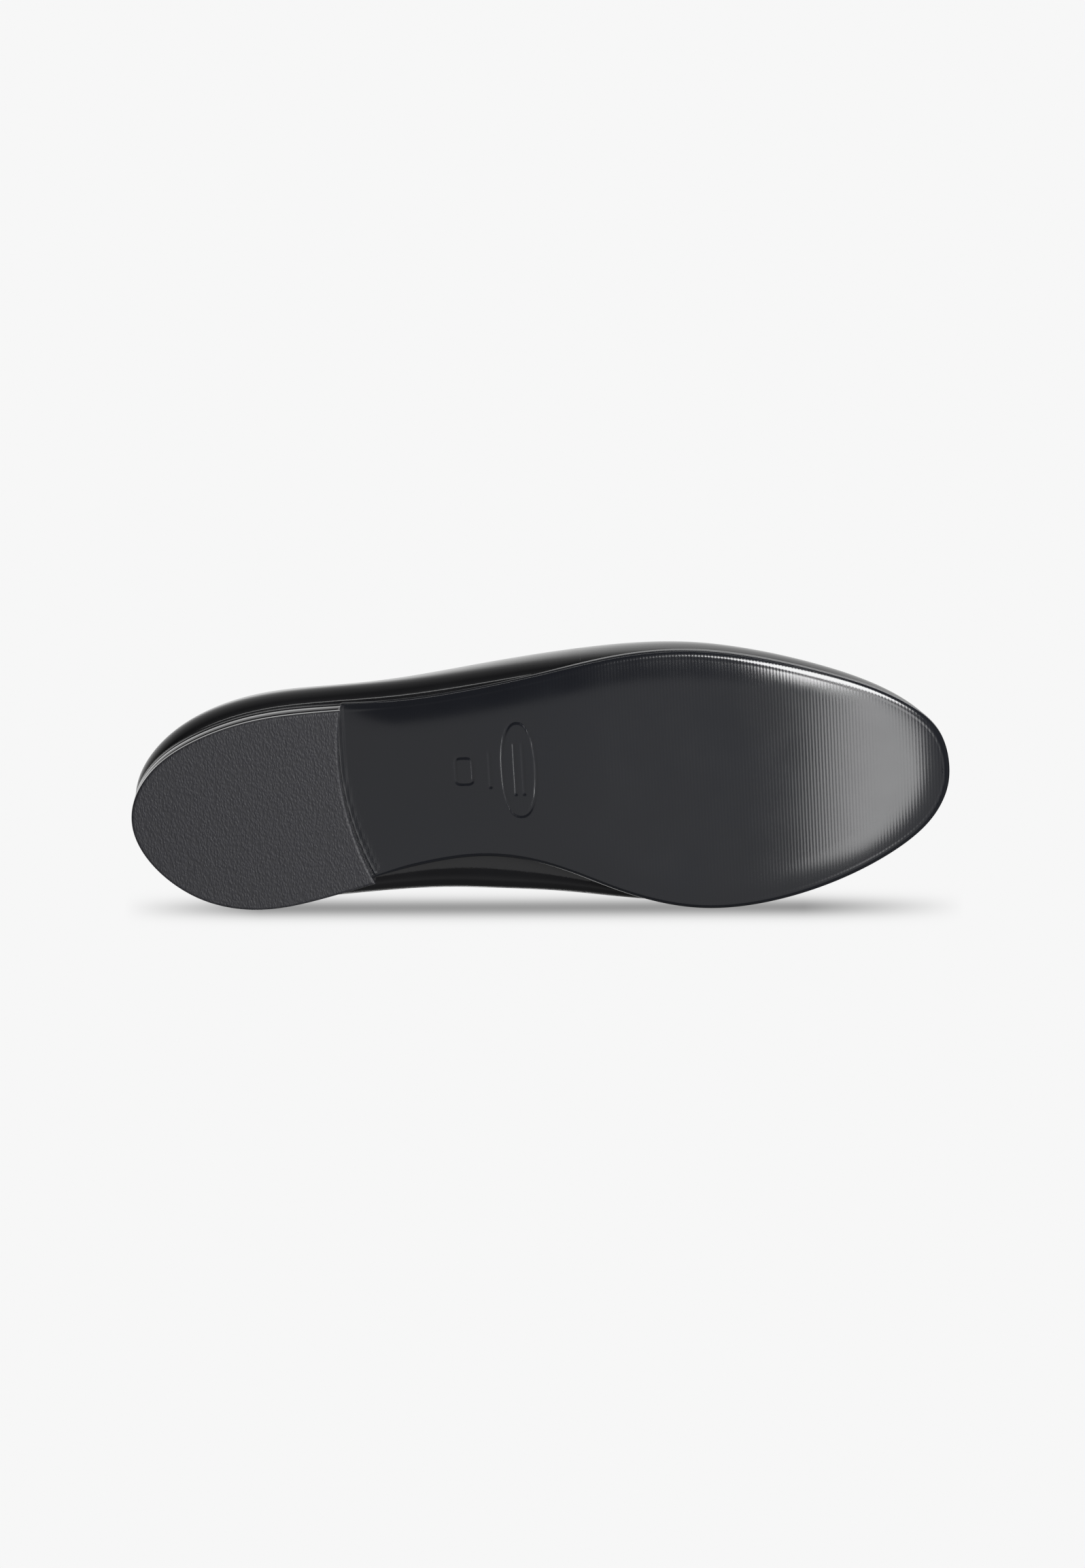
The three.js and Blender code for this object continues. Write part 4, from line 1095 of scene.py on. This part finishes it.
class SHOE_OT_stage(ShoeOperator, bpy.types.Operator):
    """Pale floor, soft studio lights and the camera that looks at the underside"""

    bl_idname = "shoe.stage"
    bl_label = "Stage"

    floor_glow = 0.66
    shade_height, shade_offset, shade_spread, shade_depth = 0.004, 0.33, 0.0022, 0.655
    tilt, roll = math.radians(15.0), math.radians(3.3)
    distance, lens = 1.5, 111.5
    aim_x, aim_y = 0.128, -1.7  # metres from the heel back, millimetres to the inner side
    floor_half, floor_drop = 6.0, 0.0002
    shade_half_length, shade_half_width = 0.4, 0.015
    shade_ends = ((-0.132, -0.09), (0.13, 0.08))  # where the shade is gone and full, at its two ends
    sky = ((0.0, 0.04), (0.3, 0.08), (0.42, 0.2), (0.52, 0.08), (0.72, 0.05), (0.9, 0.2),
           (0.955, 0.36), (0.98, 0.62), (1.0, 0.9))  # brightness from straight down to straight up

    def paper(self, name, half_length, half_width, face, material):
        """A flat sheet that only the camera sees."""
        mesh = bpy.data.meshes.new(name)
        mesh.from_pydata([(-half_length, -half_width, 0), (half_length, -half_width, 0),
                          (half_length, half_width, 0), (-half_length, half_width, 0)], [], [face])
        mesh.materials.append(material)
        sheet = bpy.data.objects.new(name, mesh)
        bpy.context.scene.collection.objects.link(sheet)
        for ray in ("diffuse", "glossy", "transmission", "shadow"):
            setattr(sheet, f"visible_{ray}", False)
        return sheet

    def floor(self):
        n = Nodes("floor_paper")
        n.set(Base_Color=(*colours().floor, 1.0), Roughness=0.9, Emission_Color=(1.0, 1.0, 1.0, 1.0))
        n.shader.inputs["Emission Strength"].default_value = self.floor_glow
        output = n.tree.nodes["Material Output"]
        clear = n.add("ShaderNodeBsdfTransparent")
        side = n.add("ShaderNodeNewGeometry")
        mix = n.add("ShaderNodeMixShader")
        n.feed(mix.inputs[0], side.outputs["Backfacing"])
        n.feed(mix.inputs[1], n.shader.outputs[0])
        n.feed(mix.inputs[2], clear.outputs[0])
        n.feed(output.inputs["Surface"], mix.outputs[0])
        floor = self.paper("studio_floor", self.floor_half, self.floor_half, (0, 1, 2, 3), n.material)
        floor.location.z = -self.floor_drop
        self.unlit = bpy.data.collections.new("lit_by_sky_only")
        self.unlit.objects.link(floor)
        self.unlit.collection_objects[0].light_linking.link_state = "EXCLUDE"

    def side_shade(self):
        """Soft band of shade beside the inner side, seen from under the floor only."""
        x, y, _ = Last().plan(np.arange(720) / 720)
        (at_x, at_y, _), = to_frame([(0, (y - x * math.tan(self.roll)).max() + self.shade_offset, 0)])
        n = Nodes("side_shade")
        split = n.add("ShaderNodeSeparateXYZ", Vector=n.place)
        across = n.math("DIVIDE", split.outputs["Y"], self.shade_spread)
        dark = n.math("POWER", math.exp(-0.5), n.math("MULTIPLY", across, across))
        for clear, full in self.shade_ends:
            dark = n.math("MULTIPLY", dark, n.spread(split.outputs["X"], 0.0, 1.0, clear, full))
        above = n.add("ShaderNodeNewGeometry").outputs["Backfacing"]
        dark = n.math("MULTIPLY", n.math("MULTIPLY", dark, n.math("SUBTRACT", 1.0, above)), self.shade_depth)
        mix = n.add("ShaderNodeMixShader")
        n.feed(mix.inputs[0], dark)
        n.feed(mix.inputs[1], n.add("ShaderNodeBsdfTransparent").outputs[0])
        n.feed(mix.inputs[2], n.add("ShaderNodeEmission", Strength=0.0).outputs[0])
        n.feed(n.tree.nodes["Material Output"].inputs["Surface"], mix.outputs[0])
        shade = self.paper("studio_side_shade", self.shade_half_length, self.shade_half_width, (3, 2, 1, 0),
                           n.material)
        shade.location = (0.0, at_y - at_x * math.tan(self.roll), self.shade_height)
        shade.rotation_euler.z = self.roll

    def lamp(self, name, place, target, size, power):
        data = bpy.data.lights.new(name, "AREA")
        data.shape = "RECTANGLE"
        data.size, data.size_y = size
        data.energy = power
        lamp = bpy.data.objects.new(name, data)
        lamp.location = place
        lamp.rotation_euler = (Vector(target) - Vector(place)).to_track_quat("-Z", "Y").to_euler()
        lamp.visible_camera = False
        lamp.light_linking.receiver_collection = self.unlit
        bpy.context.scene.collection.objects.link(lamp)

    def world(self):
        world = bpy.data.worlds.new("studio")
        bpy.context.scene.world = world
        world.use_nodes = True
        tree = world.node_tree
        tree.nodes.clear()
        coordinates = tree.nodes.new("ShaderNodeTexCoord")
        split = tree.nodes.new("ShaderNodeSeparateXYZ")
        ramp = tree.nodes.new("ShaderNodeValToRGB")
        half_up = tree.nodes.new("ShaderNodeMath")
        half_up.operation = "MULTIPLY_ADD"
        half_up.inputs[1].default_value = 0.5
        half_up.inputs[2].default_value = 0.5
        elements = ramp.color_ramp.elements
        while len(elements) < len(self.sky):
            elements.new(0.5)
        for element, (place, value) in zip(elements, self.sky):
            element.position = place
            element.color = (value, value, value, 1.0)
        light = tree.nodes.new("ShaderNodeBackground")
        seen = tree.nodes.new("ShaderNodeBackground")
        seen.inputs["Color"].default_value = (0.93, 0.93, 0.93, 1.0)
        path = tree.nodes.new("ShaderNodeLightPath")
        mix = tree.nodes.new("ShaderNodeMixShader")
        output = tree.nodes.new("ShaderNodeOutputWorld")
        link = tree.links.new
        link(coordinates.outputs["Generated"], split.inputs[0])
        link(split.outputs["Z"], half_up.inputs[0])
        link(half_up.outputs[0], ramp.inputs["Fac"])
        link(ramp.outputs["Color"], light.inputs["Color"])
        link(path.outputs["Is Camera Ray"], mix.inputs[0])
        link(light.outputs[0], mix.inputs[1])
        link(seen.outputs[0], mix.inputs[2])
        link(mix.outputs[0], output.inputs["Surface"])

    def camera(self):
        low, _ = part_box("outsole")
        target = Vector((low.x + self.aim_x, to_frame([(0, self.aim_y, 0)])[0][1], 0.0))
        away = Vector((0, -math.sin(self.tilt), -math.cos(self.tilt)))
        up = Vector((0, -math.cos(self.tilt), math.sin(self.tilt)))
        right = Vector((1, 0, 0))
        rolled_up = up * math.cos(self.roll) + right * math.sin(self.roll)
        rolled_right = right * math.cos(self.roll) - up * math.sin(self.roll)
        data = bpy.data.cameras.new("view")
        data.lens = self.lens
        data.sensor_width = 36.0
        data.clip_start = 0.05
        camera = bpy.data.objects.new("view", data)
        bpy.context.scene.collection.objects.link(camera)
        turn = Matrix((rolled_right, rolled_up, away)).transposed().to_4x4()
        camera.matrix_world = Matrix.Translation(target + away * self.distance) @ turn
        bpy.context.scene.camera = camera

    def execute(self, context):
        bpy.context.scene.view_settings.view_transform = "Standard"
        self.world()
        self.floor()
        self.side_shade()
        self.camera()
        self.lamp("under_softbox", (0.0, 0.6, -1.04), (0, 0, 0), (2.6, 1.0), 4.4)
        self.lamp("toe_softbox", (0.63, 0.26, -1.16), (0.09, 0, 0), (0.6, 0.34), 3.9)
        self.lamp("toe_edge_softbox", (0.68, -0.42, -1.08), (0.09, 0, 0), (0.55, 1.1), 45.0)
        self.lamp("outer_strip", (0.0, -1.06, -0.29), (0, 0, 0), (1.8, 0.12), 2.6)
        self.lamp("key_softbox", (0.7, -1.0, 1.3), (0, 0, 0.03), (1.3, 0.8), 11.0)
        self.lamp("fill_softbox", (-0.9, 0.9, 0.9), (0, 0, 0.03), (1.6, 1.3), 10.0)
        return {"FINISHED"}


class SHOE_PT_panel(bpy.types.Panel):
    """The shoe's sizes, colours and pieces"""

    bl_idname = "SHOE_PT_panel"
    bl_label = "Slip-on Shoe"
    bl_space_type = "VIEW_3D"
    bl_region_type = "UI"
    bl_category = "Shoe"

    def draw(self, context):
        for group in (context.scene.shoe_sizes, context.scene.shoe_colours):
            for key in group.__annotations__:
                self.layout.prop(group, key)
        for operator in OPERATORS:
            self.layout.operator(operator.bl_idname)


OPERATORS = (
    SHOE_OT_stage,
    SHOE_OT_outsole,
    SHOE_OT_heel,
    SHOE_OT_upper,
    SHOE_OT_binding,
    SHOE_OT_back_strap,
    SHOE_OT_linings,
    SHOE_OT_footbed,
    SHOE_OT_stitching,
    SHOE_OT_inner_parts,
)
CLASSES = (ShoeSizes, ShoeColours, *OPERATORS, SHOE_PT_panel)


def register():
    for cls in CLASSES:
        bpy.utils.register_class(cls)
    bpy.types.Scene.shoe_sizes = bpy.props.PointerProperty(type=ShoeSizes)
    bpy.types.Scene.shoe_colours = bpy.props.PointerProperty(type=ShoeColours)


def unregister():
    del bpy.types.Scene.shoe_colours
    del bpy.types.Scene.shoe_sizes
    for cls in reversed(CLASSES):
        bpy.utils.unregister_class(cls)


def main():
    register()
    for operator in OPERATORS:
        group, name = operator.bl_idname.split(".")
        getattr(getattr(bpy.ops, group), name)()


if __name__ == "__main__":
    main()
